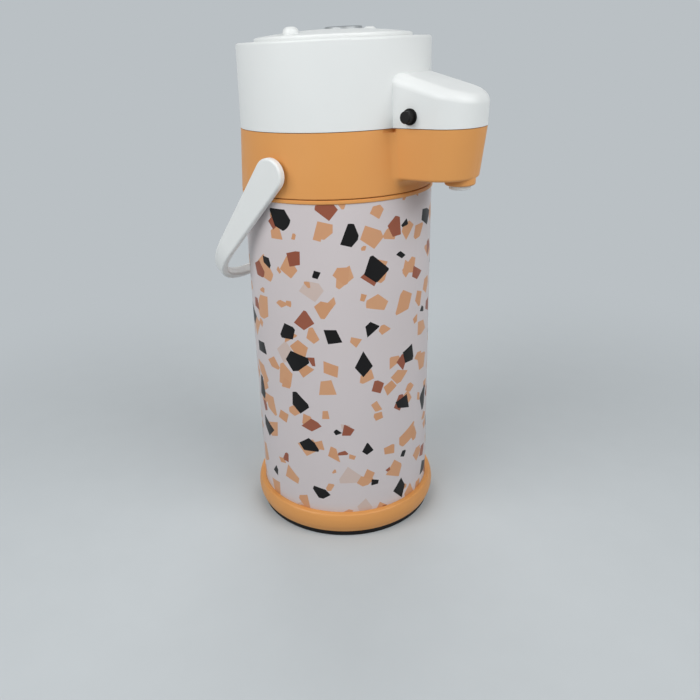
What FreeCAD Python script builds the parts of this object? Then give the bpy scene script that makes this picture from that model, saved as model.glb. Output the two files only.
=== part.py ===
"""Pump pot: a glass-lined vacuum flask with a hinged pump lid, a bail handle and a turntable foot.

Millimetres. The origin is on the pot's axis at the bottom of the foot, +Z is up and +X points
along the spout. Every size is a cell of the sheet, and every outline is tied to those cells.
"""
import FreeCAD, Part
import math
import os
import Sketcher

SIZES = {
    # clearances
    "running_fit": 0.05,
    "seat_gap": 0.1,
    "clear_gap": 0.3,
    "step_gap": 0.5,
    "overshoot": 1.0,
    # foot and its pivot
    "foot_inset": 1.3,
    "foot_height": 4.6,
    "foot_edge": 0.8,
    "grip_margin": 7.0,
    "grip_width": 8.0,
    "grip_depth": 1.8,
    "turn_gap": 0.4,
    "post_radius": 12.0,
    "pivot_screw_radius": 1.6,
    "pivot_screw_length": 10.0,
    "pivot_head_radius": 3.4,
    "pivot_head_height": 2.0,
    "washer_lap": 0.95,
    "washer_thickness": 1.2,
    # base ring, plug and cushion
    "base_height": 15.0,
    "base_bottom_step": 3.3,
    "base_top_step": 4.2,
    "base_bulge_arc": 15.5,
    "base_edge_round": 1.4,
    "base_floor": 2.6,
    "base_ledge": 3.0,
    "shell_depth": 6.0,
    "plug_radius": 34.0,
    "plug_lap": 4.0,
    "plug_flange": 2.4,
    "plug_wall": 3.5,
    "plug_height": 10.3,
    "hub_wall": 3.5,
    "hub_height": 4.3,
    "cushion_gap": 1.0,
    # body shell and neck ring
    "body_radius": 65.0,
    "shell_wall": 1.2,
    "body_height": 233.5,
    "neck_ring_step": 0.7,
    "neck_ring_height": 2.6,
    "neck_ring_round": 0.6,
    "neck_ring_lip": 1.0,
    "neck_ring_depth": 5.5,
    "neck_groove": 0.5,
    # vacuum refill
    "glass_rise": 13.3,
    "glass_gap": 7.8,
    "glass_wall": 1.8,
    "glass_flat_radius": 20.0,
    "glass_neck_radius": 24.0,
    "vacuum_gap": 4.7,
    "inner_wall": 1.6,
    "inner_flat_radius": 17.5,
    "inner_bottom_gap": 5.2,
    "neck_wall": 1.8,
    "lip_height": 2.0,
    "neck_length": 22.0,
    "spacer_height": 10.0,
    "spacer_width": 12.0,
    "spacer_rise": 59.0,
    "gasket_height": 2.6,
    "gasket_width": 5.8,
    # collar and spout
    "collar_height": 39.0,
    "collar_step": 0.7,
    "collar_taper": 2.1,
    "collar_wall": 2.4,
    "collar_edge": 0.4,
    "deck_thickness": 2.4,
    "deck_gap": 3.2,
    "skirt_wall": 1.8,
    "skirt_depth": 9.6,
    "spout_overhang": 44.2,
    "spout_width": 44.0,
    "spout_front_flat": 2.0,
    "spout_lift": 8.8,
    "spout_draft": 4.0,
    "spout_bottom_round": 1.8,
    "spout_root_round": 5.0,
    "spout_wall": 2.6,
    "spout_floor": 3.5,
    "boss_radius": 9.4,
    "boss_height": 4.0,
    "boss_edge_round": 1.4,
    "notch_angle": 22.5,
    "notch_length": 9.0,
    "notch_height": 2.0,
    # stopper and drink way
    "stopper_gap": 0.8,
    "stopper_depth": 15.0,
    "stopper_lap": 5.0,
    "stopper_flange": 3.0,
    "stopper_gasket": 1.5,
    "housing_step": 6.0,
    "housing_height": 10.5,
    "port_offset": 8.0,
    "port_radius": 6.5,
    "port_bore": 3.0,
    "tube_offset": 8.0,
    "tube_radius": 4.9,
    "tube_wall": 1.4,
    "tube_foot_gap": 2.0,
    "pipe_bend": 10.0,
    "pipe_level": 9.6,
    "nozzle_setback": 13.3,
    "nozzle_radius": 6.6,
    "nozzle_drop": 2.6,
    "nozzle_edge": 0.7,
    "nozzle_wall": 1.0,
    "pipe_stop": 1.0,
    "mouth_radius": 3.6,
    # lid
    "seam_gap": 0.4,
    "lid_height": 51.0,
    "lid_taper": 0.6,
    "rim_round": 1.6,
    "lid_wall": 2.2,
    "lid_top": 2.5,
    "rim_land": 11.0,
    "well_wall": 2.0,
    "well_depth": 19.0,
    "spout_top_lean": 0.7,
    "spout_root_rise": 30.5,
    "spout_slope": 15.5,
    "spout_top_round": 7.0,
    "spout_roof": 6.0,
    "hinge_reach": 2.9,
    "hinge_radius": 3.6,
    "hinge_pin_radius": 1.5,
    "hinge_block": 7.0,
    "hinge_root": 2.6,
    "knuckle_half": 5.7,
    "knuckle_width": 9.0,
    # lid floor and its fastening
    "underplate_gap": 1.4,
    "underplate_thickness": 2.5,
    "underplate_drop": 2.0,
    "screw_radius": 1.5,
    "screw_length": 9.0,
    "screw_head_radius": 3.0,
    "screw_head": 1.6,
    "screw_boss_radius": 4.2,
    "screw_boss_height": 13.5,
    "air_seal_radius": 7.0,
    "flap_radius": 6.0,
    "flap_thickness": 0.6,
    # pump
    "bellows_gap": 8.0,
    "fold_depth": 7.0,
    "bellows_wall": 1.0,
    "plate_stand": 9.1,
    "spring_radius": 20.0,
    "spring_wire": 0.9,
    "spring_turns": 5.0,
    "plunger_lap": 4.0,
    "plunger_disc": 2.5,
    "stem_radius": 8.0,
    "ring_groove_depth": 1.0,
    "ring_groove_drop": 3.2,
    "ring_thickness": 0.9,
    "ring_lap": 2.0,
    "ring_opening": 40.0,
    "plate_gap": 1.0,
    "plate_rise": 2.6,
    "plate_crown": 3.6,
    "plate_edge_round": 1.2,
    "plate_skirt": 6.6,
    "plate_skirt_wall": 2.0,
    "plate_thickness": 2.4,
    "plate_hub_wall": 2.0,
    "plate_hub_recess": 1.8,
    "bump_radius": 4.9,
    "bump_inset": 9.0,
    "bump_rise": 1.4,
    "bump_round": 3.4,
    "badge_radius": 12.0,
    "badge_offset": 8.5,
    "badge_depth": 0.8,
    "badge_rise": 0.9,
    "badge_edge": 0.4,
    # release buttons
    "button_standoff": 8.0,
    "button_radius": 3.6,
    "button_reach": 6.0,
    "button_edge": 0.6,
    "button_lap": 1.3,
    "button_head": 3.2,
    "bush_wall": 0.7,
    "bush_lap": 0.4,
    "bush_flange": 0.8,
    "bush_tail": 0.4,
    # handle
    "pivot_rise": 14.4,
    "pivot_radius": 5.0,
    "pivot_length": 6.0,
    "pivot_boss_wall": 3.5,
    "pivot_end_gap": 0.7,
    "handle_gap": 0.7,
    "handle_thickness": 5.2,
    "handle_end_radius": 10.7,
    "handle_grip_half": 3.4,
    "handle_drop": 111.0,
    "handle_bend": 40.0,
    "handle_round": 1.5,
    "handle_rest_angle": 40.5,
}
BELLOWS_FOLDS = 6
SCREW_COUNT = 4
SPACER_COUNT = 3
UP = FreeCAD.Vector(0, 0, 1)
NEAR = 0.05
FULL_TURN = 360

doc = FreeCAD.newDocument("pump_pot")
sheet = doc.addObject("Spreadsheet::Sheet", "sizes")
for row, (alias, number) in enumerate(SIZES.items(), start=1):
    sheet.set("A%d" % row, alias)
    sheet.set("B%d" % row, str(number))
    sheet.setAlias("B%d" % row, alias)
doc.recompute()


class Size:
    """A length with its value and the sheet formula that it comes from."""

    def __init__(self, value, formula):
        self.value = float(value)
        self.formula = formula

    def __add__(self, other):
        other = as_size(other)
        return Size(self.value + other.value, "(%s + %s)" % (self.formula, other.formula))

    def __sub__(self, other):
        other = as_size(other)
        return Size(self.value - other.value, "(%s - %s)" % (self.formula, other.formula))

    def __mul__(self, other):
        other = as_size(other)
        return Size(self.value * other.value, "(%s * %s)" % (self.formula, other.formula))

    def __truediv__(self, other):
        other = as_size(other)
        return Size(self.value / other.value, "(%s / %s)" % (self.formula, other.formula))

    def __neg__(self):
        return Size(-self.value, "(-1 * %s)" % self.formula)

    def root(self):
        return Size(math.sqrt(self.value), "sqrt(%s)" % self.formula)

    def cosine(self):
        return Size(math.cos(math.radians(self.value)), "cos(%s * 1 deg)" % self.formula)

    def sine(self):
        return Size(math.sin(math.radians(self.value)), "sin(%s * 1 deg)" % self.formula)

    def tangent(self):
        return Size(math.tan(math.radians(self.value)), "tan(%s * 1 deg)" % self.formula)


def as_size(number):
    """Take a bare number as a size that never changes."""
    if isinstance(number, Size):
        return number
    return Size(number, repr(float(number)))


class Cells:
    """The sheet's cells by name."""

    def __getattr__(self, alias):
        return Size(sheet.get(alias), "sizes." + alias)


dim = Cells()
ZERO = as_size(0)


# Sketches and features


def new_body(label):
    """Start a sub-part."""
    body = doc.addObject("PartDesign::Body", label)
    body.Label = label
    return body


def origin_plane(body, role):
    """The body's own plane of that role."""
    return [plane for plane in body.Origin.OriginFeatures if plane.Role == role][0]


def new_sketch(body, role, shift=(0, 0, 0)):
    """A sketch on one of the body's planes, moved by shift in the plane's own axes."""
    sketch = body.newObject("Sketcher::SketchObject", "outline")
    sketch.AttachmentSupport = [(origin_plane(body, role), "")]
    sketch.MapMode = "FlatFace"
    for axis, size in zip("xyz", shift):
        sketch.setExpression("AttachmentOffset.Base." + axis, as_size(size).formula)
    return sketch


def tie(sketch, constraint, formula):
    """Add a constraint whose value follows a formula."""
    number = sketch.addConstraint(constraint)
    sketch.setExpression("Constraints[%d]" % number, formula)


def tie_point(sketch, curve, end, x, y):
    """Hold one end of a curve, or a circle's centre, at x and y."""
    for kind, size, axis in (("DistanceX", x, -2), ("DistanceY", y, -1)):
        if size is ZERO:
            sketch.addConstraint(Sketcher.Constraint("PointOnObject", curve, end, axis))
        else:
            tie(sketch, Sketcher.Constraint(kind, -1, 1, curve, end, size.value), size.formula)


def arc_between(start, finish, radius):
    """An arc of under a half circle; a positive radius turns left."""
    chord = finish - start
    reach = math.sqrt(max(radius * radius - chord.Length ** 2 / 4, 0.0))
    left = FreeCAD.Vector(-chord.y, chord.x, 0).normalize()
    centre = (start + finish) * 0.5 + left * math.copysign(reach, radius)
    circle = Part.Circle(centre, UP, abs(radius))
    first, last = (start, finish) if radius > 0 else (finish, start)
    return Part.ArcOfCircle(circle, circle.parameter(first), circle.parameter(last))


def draw(sketch, corners, closed=True):
    """Draw lines through the corners; a third entry bends the next side to that radius."""
    corners = [[as_size(entry) if entry != 0 else ZERO for entry in corner] for corner in corners]
    spots = [FreeCAD.Vector(corner[0].value, corner[1].value, 0) for corner in corners]
    sides = len(corners) if closed else len(corners) - 1
    ends = []
    for number in range(sides):
        corner = corners[number]
        start = spots[number]
        finish = spots[(number + 1) % len(spots)]
        if len(corner) == 3:
            curve = sketch.addGeometry(arc_between(start, finish, corner[2].value), False)
            ends.append((curve, 1, 2) if corner[2].value > 0 else (curve, 2, 1))
            bend = corner[2] if corner[2].value > 0 else -corner[2]
            tie(sketch, Sketcher.Constraint("Radius", curve, bend.value), bend.formula)
        else:
            curve = sketch.addGeometry(Part.LineSegment(start, finish), False)
            ends.append((curve, 1, 2))
    for number, (curve, first, last) in enumerate(ends):
        tie_point(sketch, curve, first, corners[number][0], corners[number][1])
        following = ends[(number + 1) % len(ends)]
        if closed or number + 1 < len(ends):
            sketch.addConstraint(Sketcher.Constraint("Coincident", curve, last, following[0], following[1]))
        else:
            tie_point(sketch, curve, last, corners[-1][0], corners[-1][1])
    return sketch


def box_corners(low_x, low_y, high_x, high_y):
    """The corners of a rectangle."""
    return [(low_x, low_y), (high_x, low_y), (high_x, high_y), (low_x, high_y)]


def draw_circle(sketch, x, y, radius):
    """Draw a circle."""
    x = as_size(x) if x != 0 else ZERO
    y = as_size(y) if y != 0 else ZERO
    centre = FreeCAD.Vector(x.value, y.value, 0)
    curve = sketch.addGeometry(Part.Circle(centre, UP, radius.value), False)
    tie_point(sketch, curve, 3, x, y)
    tie(sketch, Sketcher.Constraint("Radius", curve, radius.value), radius.formula)
    return sketch


def turn(body, sketch, cut=False, angle=None):
    """Turn a sketch about its own upright axis, to add or to cut."""
    feature = body.newObject("PartDesign::Groove" if cut else "PartDesign::Revolution", "turned")
    feature.Profile = sketch
    feature.ReferenceAxis = (sketch, ["V_Axis"])
    feature.Angle = FULL_TURN
    if angle is not None:
        feature.setExpression("Angle", angle.formula)
    return feature


def turned(label, corners, x=0, y=0, z=0):
    """A sub-part turned about an upright axis at x, y."""
    body = new_body(label)
    turn(body, draw(new_sketch(body, "XZ_Plane"), corners))
    place(body, x, y, z)
    return body


def place(body, x=0, y=0, z=0):
    """Tie a sub-part's place to the sheet."""
    for axis, size in zip("xyz", (x, y, z)):
        body.setExpression("Placement.Base." + axis, as_size(size).formula)


def pad(body, sketch, length, cut=False, both=False, down=False):
    """Push a sketch along its normal, to add or to cut."""
    feature = body.newObject("PartDesign::Pocket" if cut else "PartDesign::Pad", "pushed")
    feature.Profile = sketch
    feature.Type = "Length"
    feature.setExpression("Length", as_size(length).formula)
    if both:
        feature.SideType = "Symmetric"
    feature.Reversed = down != cut
    return feature


def loft(body, lower, upper, cut=False):
    """Join two outlines with flat sides, to add or to cut."""
    feature = body.newObject("PartDesign::SubtractiveLoft" if cut else "PartDesign::AdditiveLoft", "lofted")
    feature.Profile = lower
    feature.Sections = [upper]
    feature.Ruled = True
    return feature


def round_edges(body, feature, radius, wanted):
    """Round the feature's edges that the test picks."""
    doc.recompute()
    names = ["Edge%d" % (number + 1) for number, edge in enumerate(feature.Shape.Edges) if wanted(edge)]
    rounded = body.newObject("PartDesign::Fillet", "rounded")
    rounded.Base = (feature, names)
    rounded.setExpression("Radius", radius.formula)
    return rounded


def group(label, pieces):
    """Separate solids under one name."""
    compound = doc.addObject("Part::Compound", label)
    compound.Label = label
    compound.Links = pieces
    return compound


# Radii and reaches, from the body's outer face

shell_inner = dim.body_radius - dim.shell_wall
base_bottom_radius = dim.body_radius + dim.base_bottom_step
base_top_radius = dim.body_radius + dim.base_top_step
base_inner = dim.body_radius - dim.base_ledge
foot_radius = base_bottom_radius - dim.foot_inset
grip_outer = foot_radius - dim.grip_margin
grip_inner = grip_outer - dim.grip_width
hub_bore = dim.post_radius + dim.running_fit
washer_radius = hub_bore + dim.hub_wall + dim.washer_lap
plug_flange_radius = dim.plug_radius + dim.plug_lap
plug_inner = dim.plug_radius - dim.plug_wall
neck_ring_radius = dim.body_radius + dim.neck_ring_step
collar_radius = dim.body_radius + dim.collar_step
seam_radius = collar_radius - dim.collar_taper
rim_radius = seam_radius - dim.lid_taper
lid_inner = seam_radius - dim.lid_wall
underplate_radius = lid_inner - dim.underplate_gap
screw_circle = lid_inner - dim.screw_boss_radius
well_radius = rim_radius - dim.rim_land
plate_radius = well_radius - dim.plate_gap
bump_circle = plate_radius - dim.bump_inset
bellows_radius = well_radius - dim.bellows_gap
bellows_root = bellows_radius - dim.fold_depth
plunger_radius = bellows_root + dim.plunger_lap
ring_radius = dim.stem_radius + dim.ring_lap
recess_radius = ring_radius + dim.step_gap
plate_hub_radius = recess_radius + dim.plate_hub_wall
spout_half = dim.spout_width / 2
spout_corner = spout_half - dim.spout_front_flat
spout_reach = seam_radius + dim.spout_overhang
nozzle_offset = spout_reach - dim.nozzle_setback
nozzle_neck = dim.tube_radius + dim.seat_gap + dim.nozzle_wall
button_offset = seam_radius + dim.button_standoff
button_bore = dim.button_radius + dim.running_fit
button_head_radius = dim.button_radius + dim.button_lap
bush_outer = button_bore + dim.bush_wall
bush_flange_radius = bush_outer + dim.bush_lap
pivot_boss_radius = dim.pivot_radius + dim.pivot_boss_wall
arm_inner = collar_radius + dim.handle_gap
glass_radius = shell_inner - dim.glass_gap
glass_bottom_round = glass_radius - dim.glass_flat_radius
glass_shoulder_round = glass_radius - dim.glass_neck_radius
outer_bore = glass_radius - dim.glass_wall
inner_radius = outer_bore - dim.vacuum_gap
inner_bottom_round = inner_radius - dim.inner_flat_radius
inner_neck = dim.glass_neck_radius - dim.glass_wall * 2
mouth_bore = inner_neck - dim.neck_wall
stopper_radius = mouth_bore - dim.stopper_gap
deck_hole_radius = stopper_radius + dim.deck_gap
stopper_flange_radius = deck_hole_radius + dim.stopper_lap
housing_radius = stopper_flange_radius - dim.housing_step

# Levels, from the floor up

foot_top = dim.foot_height
base_bottom = foot_top + dim.turn_gap
base_top = base_bottom + dim.base_height
shell_bottom = base_top - dim.shell_depth
shell_top = shell_bottom + dim.body_height
ring_top = shell_top + dim.neck_ring_height
collar_bottom = ring_top + dim.neck_groove
deck_top = collar_bottom + dim.deck_thickness
seam = collar_bottom + dim.collar_height
lid_bottom = seam + dim.seam_gap
rim = lid_bottom + dim.lid_height
plug_bottom = base_bottom + dim.clear_gap
plug_floor = plug_bottom + dim.plug_flange
hub_top = plug_floor + dim.hub_height
post_top = hub_top + dim.clear_gap
washer_top = post_top + dim.washer_thickness
lip_top = collar_bottom - dim.gasket_height
neck_top = lip_top - dim.lip_height
flange_bottom = deck_top + dim.stopper_gasket
housing_bottom = flange_bottom + dim.stopper_flange
housing_top = housing_bottom + dim.housing_height
pipe_axis = seam - dim.pipe_level
pipe_start = deck_top + dim.pipe_stop
port_top = pipe_axis + dim.tube_radius
spout_bottom = collar_bottom + dim.spout_lift
spout_floor_top = spout_bottom + dim.spout_floor
boss_bottom = spout_bottom - dim.boss_height
nozzle_bottom = boss_bottom - dim.nozzle_drop
pipe_end = spout_bottom + dim.pipe_stop
underplate_bottom = lid_bottom - dim.underplate_drop
underplate_top = underplate_bottom + dim.underplate_thickness
plate_edge = rim + dim.plate_rise
plate_under = plate_edge - dim.plate_thickness
recess_top = plate_under + dim.plate_hub_recess
stem_top = recess_top - dim.step_gap
groove_bottom = stem_top - dim.ring_groove_drop
plunger_top = plate_edge - dim.plate_stand
plunger_bottom = plunger_top - dim.plunger_disc
bellows_height = plunger_bottom - underplate_top
crown = plate_edge + dim.plate_crown
hinge_x = -(seam_radius + dim.hinge_reach)
hinge_z = seam + dim.seam_gap / 2
pivot_level = collar_bottom + dim.pivot_rise
glass_bottom = plug_floor + dim.glass_rise
spacer_level = glass_bottom + dim.spacer_rise
peak = lid_bottom + dim.spout_root_rise
high_reach = spout_reach + dim.spout_top_lean
slope_end = peak - (high_reach - rim_radius) * dim.spout_slope.tangent()
cavity_top = slope_end - dim.spout_roof
button_z = cavity_top - button_head_radius - dim.clear_gap


# Foot

turntable_foot = turned("turntable_foot", [
    (0, 0),
    (grip_inner, 0),
    (grip_inner, dim.grip_depth),
    (grip_outer, dim.grip_depth),
    (grip_outer, 0),
    (foot_radius - dim.foot_edge, 0),
    (foot_radius, dim.foot_edge),
    (foot_radius, foot_top - dim.foot_edge),
    (foot_radius - dim.foot_edge, foot_top),
    (dim.post_radius, foot_top),
    (dim.post_radius, post_top),
    (dim.pivot_screw_radius + dim.seat_gap, post_top),
    (dim.pivot_screw_radius + dim.seat_gap, washer_top - dim.pivot_screw_length - dim.clear_gap),
    (0, washer_top - dim.pivot_screw_length - dim.clear_gap),
])
foot_grip_ring = turned("foot_grip_ring", box_corners(
    grip_inner + dim.seat_gap, ZERO, grip_outer - dim.seat_gap, dim.grip_depth))
turntable_washer = turned("turntable_washer", box_corners(
    dim.pivot_screw_radius + dim.seat_gap, post_top, washer_radius, washer_top))
turntable_screw = turned("turntable_screw", [
    (0, washer_top - dim.pivot_screw_length),
    (dim.pivot_screw_radius, washer_top - dim.pivot_screw_length),
    (dim.pivot_screw_radius, washer_top),
    (dim.pivot_head_radius, washer_top),
    (dim.pivot_head_radius, washer_top + dim.pivot_head_height),
    (0, washer_top + dim.pivot_head_height),
])

# Base

base_ring = turned("base_ring", [
    (dim.plug_radius + dim.seat_gap, plug_floor),
    (plug_flange_radius + dim.clear_gap, plug_floor),
    (plug_flange_radius + dim.clear_gap, base_bottom),
    (base_bottom_radius, base_bottom, dim.base_bulge_arc),
    (base_top_radius, base_top - dim.base_edge_round, dim.base_edge_round),
    (base_top_radius - dim.base_edge_round, base_top),
    (dim.body_radius + dim.seat_gap, base_top),
    (dim.body_radius + dim.seat_gap, shell_bottom),
    (base_inner, shell_bottom),
    (base_inner, plug_floor + dim.base_floor),
    (dim.plug_radius + dim.seat_gap, plug_floor + dim.base_floor),
])
refill_plug = turned("refill_plug", [
    (hub_bore, plug_bottom),
    (plug_flange_radius, plug_bottom),
    (plug_flange_radius, plug_floor),
    (dim.plug_radius, plug_floor),
    (dim.plug_radius, plug_floor + dim.plug_height),
    (plug_inner, plug_floor + dim.plug_height),
    (plug_inner, plug_floor),
    (hub_bore + dim.hub_wall, plug_floor),
    (hub_bore + dim.hub_wall, hub_top),
    (hub_bore, hub_top),
])
base_cushion = turned("base_cushion", box_corners(
    washer_radius + dim.cushion_gap, plug_floor, plug_inner - dim.seat_gap, glass_bottom))

# Body shell and neck ring

body_shell = turned("body_shell", box_corners(shell_inner, shell_bottom, dim.body_radius, shell_top))
ring_lip_outer = shell_inner - dim.seat_gap
neck_ring = turned("neck_ring", [
    (ring_lip_outer - dim.neck_ring_lip, shell_top - dim.neck_ring_depth),
    (ring_lip_outer, shell_top - dim.neck_ring_depth),
    (ring_lip_outer, shell_top),
    (neck_ring_radius - dim.neck_ring_round, shell_top, dim.neck_ring_round),
    (neck_ring_radius, shell_top + dim.neck_ring_round),
    (neck_ring_radius, ring_top - dim.neck_ring_round, dim.neck_ring_round),
    (neck_ring_radius - dim.neck_ring_round, ring_top),
    (ring_lip_outer - dim.neck_ring_lip, ring_top),
])

# Vacuum refill: two bottles of glass that meet at the lip

shoulder_level = neck_top - dim.neck_length - glass_shoulder_round
glass_outer = turned("glass_outer", [
    (0, glass_bottom),
    (dim.glass_flat_radius, glass_bottom, glass_bottom_round),
    (glass_radius, glass_bottom + glass_bottom_round),
    (glass_radius, shoulder_level, glass_shoulder_round),
    (dim.glass_neck_radius, shoulder_level + glass_shoulder_round),
    (dim.glass_neck_radius, neck_top),
    (dim.glass_neck_radius - dim.glass_wall, neck_top),
    (dim.glass_neck_radius - dim.glass_wall, shoulder_level + glass_shoulder_round - dim.glass_wall),
    (dim.glass_neck_radius, shoulder_level + glass_shoulder_round - dim.glass_wall,
     dim.glass_wall - glass_shoulder_round),
    (outer_bore, shoulder_level),
    (outer_bore, glass_bottom + glass_bottom_round, dim.glass_wall - glass_bottom_round),
    (dim.glass_flat_radius, glass_bottom + dim.glass_wall),
    (0, glass_bottom + dim.glass_wall),
])
inner_floor = glass_bottom + dim.glass_wall + dim.inner_bottom_gap
inner_shoulder_round = inner_radius - inner_neck
bottle_radius = inner_radius - dim.inner_wall
wall_bottom = inner_floor + inner_bottom_round
shoulder_top = shoulder_level + inner_shoulder_round
glass_inner_base = turned("glass_inner_base", [
    (0, inner_floor),
    (dim.inner_flat_radius, inner_floor, inner_bottom_round),
    (inner_radius, wall_bottom),
    (bottle_radius, wall_bottom, dim.inner_wall - inner_bottom_round),
    (dim.inner_flat_radius, inner_floor + dim.inner_wall),
    (0, inner_floor + dim.inner_wall),
])
glass_inner_wall = turned("glass_inner_wall", box_corners(
    bottle_radius, wall_bottom, inner_radius, shoulder_level))
glass_inner_neck = turned("glass_inner_neck", [
    (bottle_radius, shoulder_level),
    (inner_radius, shoulder_level, inner_shoulder_round),
    (inner_neck, shoulder_top),
    (inner_neck, neck_top),
    (dim.glass_neck_radius, neck_top),
    (dim.glass_neck_radius, lip_top),
    (mouth_bore, lip_top),
    (mouth_bore, shoulder_top - dim.inner_wall),
    (inner_neck, shoulder_top - dim.inner_wall, dim.inner_wall - inner_shoulder_round),
])
spacers = []
for number in range(SPACER_COUNT):
    spacer = new_body("spacer")
    turn(spacer, draw(new_sketch(spacer, "XZ_Plane"), box_corners(
        inner_radius + dim.seat_gap, spacer_level,
        outer_bore - dim.seat_gap, spacer_level + dim.spacer_height)),
        angle=dim.spacer_width)
    spacer.Placement.Rotation = FreeCAD.Rotation(UP, FULL_TURN / SPACER_COUNT * number)
    spacers.append(spacer)
glass_spacers = group("glass_spacers", spacers)
gasket_inner = mouth_bore + dim.seat_gap
mouth_gasket = turned("mouth_gasket", box_corners(
    gasket_inner, lip_top, gasket_inner + dim.gasket_width, collar_bottom))


# Spout outlines, shared by the collar and the lid


def spout_outline(body, level, reach, half, corner):
    """A plan of the spout's hollow at one level, from the pot's axis to the rounded front."""
    return draw(new_sketch(body, "XY_Plane", (0, 0, level)), [
        (0, -half),
        (reach - corner, -half, corner),
        (reach, corner - half),
        (reach, half - corner, corner),
        (reach - corner, half),
        (0, half),
    ])


def spout_block(body, corners):
    """One half of the spout, square at first, from its outline seen from the side."""
    return pad(body, draw(new_sketch(body, "XZ_Plane"), corners), dim.spout_width, both=True)


def at_front(edge):
    """True for the two edges that run up the spout's front corners."""
    bounds = edge.BoundBox
    return bounds.ZLength > bounds.XLength + bounds.YLength and bounds.XMin > seam_radius.value


def at_root(edge):
    """True for the two edges where the spout's flanks leave the round body."""
    bounds = edge.BoundBox
    flank = min(abs(bounds.YMin), abs(bounds.YMax))
    upright = bounds.ZLength > bounds.XLength + bounds.YLength
    return upright and abs(flank - spout_half.value) < NEAR and bounds.XMax < seam_radius.value


cavity_reach = spout_reach - dim.spout_wall
inner_half = spout_half - dim.spout_wall
inner_corner = spout_corner - dim.spout_wall
low_reach = spout_reach - dim.spout_draft


def hinge_sketch(body):
    """A sketch whose upright axis is the lid's hinge axis."""
    return new_sketch(body, "XY_Plane", (hinge_x, 0, hinge_z))


def draw_pair(sketch, radius, near, far):
    """Two rectangles that turn into a pair of discs, one each side of the middle plane."""
    draw(sketch, box_corners(ZERO, near, radius, far))
    draw(sketch, box_corners(ZERO, -far, radius, -near))
    return sketch


relief = dim.hinge_radius + dim.clear_gap
pin_bore = dim.hinge_pin_radius + dim.running_fit
side_near = dim.knuckle_half + dim.clear_gap
side_far = side_near + dim.knuckle_width
hinge_inner = -(seam_radius - dim.hinge_root)

# Collar

collar = new_body("collar")
spout_low = spout_block(collar, [
    (0, spout_bottom),
    (low_reach, spout_bottom),
    (spout_reach, seam),
    (0, seam),
])
spout_low = round_edges(collar, spout_low, spout_corner, at_front)
round_edges(collar, spout_low, dim.spout_bottom_round,
            lambda edge: edge.BoundBox.ZMax < spout_bottom.value + NEAR and edge.BoundBox.XMax > NEAR)
spout_low = turn(collar, draw(new_sketch(collar, "XZ_Plane"), [
    (0, collar_bottom),
    (collar_radius - dim.collar_edge, collar_bottom),
    (collar_radius, collar_bottom + dim.collar_edge),
    (seam_radius, seam),
    (0, seam),
]))
round_edges(collar, spout_low, dim.spout_root_round, at_root)
boss = pad(collar, draw_circle(new_sketch(collar, "XY_Plane", (0, 0, boss_bottom)),
                               nozzle_offset, 0, dim.boss_radius), spout_floor_top - boss_bottom)
round_edges(collar, boss, dim.boss_edge_round, lambda edge: edge.BoundBox.ZMax < boss_bottom.value + NEAR
            and edge.BoundBox.XMin > seam_radius.value)
turn(collar, draw(new_sketch(collar, "XZ_Plane"), [
    (0, deck_top),
    (collar_radius - dim.collar_wall, deck_top),
    (seam_radius - dim.collar_wall, seam),
    (seam_radius - dim.collar_wall, seam + dim.overshoot),
    (0, seam + dim.overshoot),
]), cut=True)
loft(
    collar,
    spout_outline(collar, spout_floor_top, low_reach - dim.spout_wall, inner_half, inner_corner),
    spout_outline(collar, seam + dim.overshoot, cavity_reach, inner_half, inner_corner),
    cut=True)
skirt_outer = ring_lip_outer - dim.neck_ring_lip - dim.clear_gap
turn(collar, draw(new_sketch(collar, "XZ_Plane"), box_corners(
    skirt_outer - dim.skirt_wall, collar_bottom - dim.skirt_depth, skirt_outer, deck_top)))
pad(collar, draw_circle(new_sketch(collar, "XY_Plane", (0, 0, deck_top + dim.overshoot)),
                        0, 0, deck_hole_radius),
    dim.deck_thickness + dim.overshoot * 2, cut=True, down=True)
pad(collar, draw_circle(new_sketch(collar, "XY_Plane", (0, 0, spout_floor_top + dim.overshoot)),
                        nozzle_offset, 0, nozzle_neck + dim.seat_gap),
    dim.spout_floor + dim.boss_height + dim.overshoot * 2, cut=True, down=True)
pad(collar, draw_circle(new_sketch(collar, "XY_Plane", (0, 0, spout_bottom)),
                        nozzle_offset, 0, dim.nozzle_radius + dim.seat_gap),
    dim.boss_height + dim.overshoot, cut=True, down=True)

# Sockets of the handle in the collar's wall
pivot_tip = arm_inner - dim.pivot_length
socket_end = pivot_tip - dim.pivot_end_gap
boss_inner = socket_end - dim.clear_gap
turn(collar, draw_pair(new_sketch(collar, "XY_Plane", (0, 0, pivot_level)),
                       pivot_boss_radius, boss_inner, seam_radius - dim.clear_gap))
turn(collar, draw_pair(new_sketch(collar, "XY_Plane", (0, 0, pivot_level)),
                       dim.pivot_radius + dim.running_fit, socket_end, collar_radius + dim.overshoot),
     cut=True)

# Hinge knuckles of the collar, either side of the lid's knuckle
knuckle_plan = new_sketch(collar, "XY_Plane", (0, 0, hinge_z - dim.hinge_block))
draw(knuckle_plan, box_corners(hinge_x, side_near, hinge_inner, side_far))
draw(knuckle_plan, box_corners(hinge_x, -side_far, hinge_inner, -side_near))
pad(collar, knuckle_plan, dim.hinge_block)
turn(collar, draw_pair(hinge_sketch(collar), dim.hinge_radius, side_near, side_far))
turn(collar, draw(hinge_sketch(collar), box_corners(
    ZERO, -side_far - dim.overshoot, pin_bore, side_far + dim.overshoot)), cut=True)
turn(collar, draw(hinge_sketch(collar), box_corners(ZERO, -side_near, relief, side_near)), cut=True)

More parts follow.
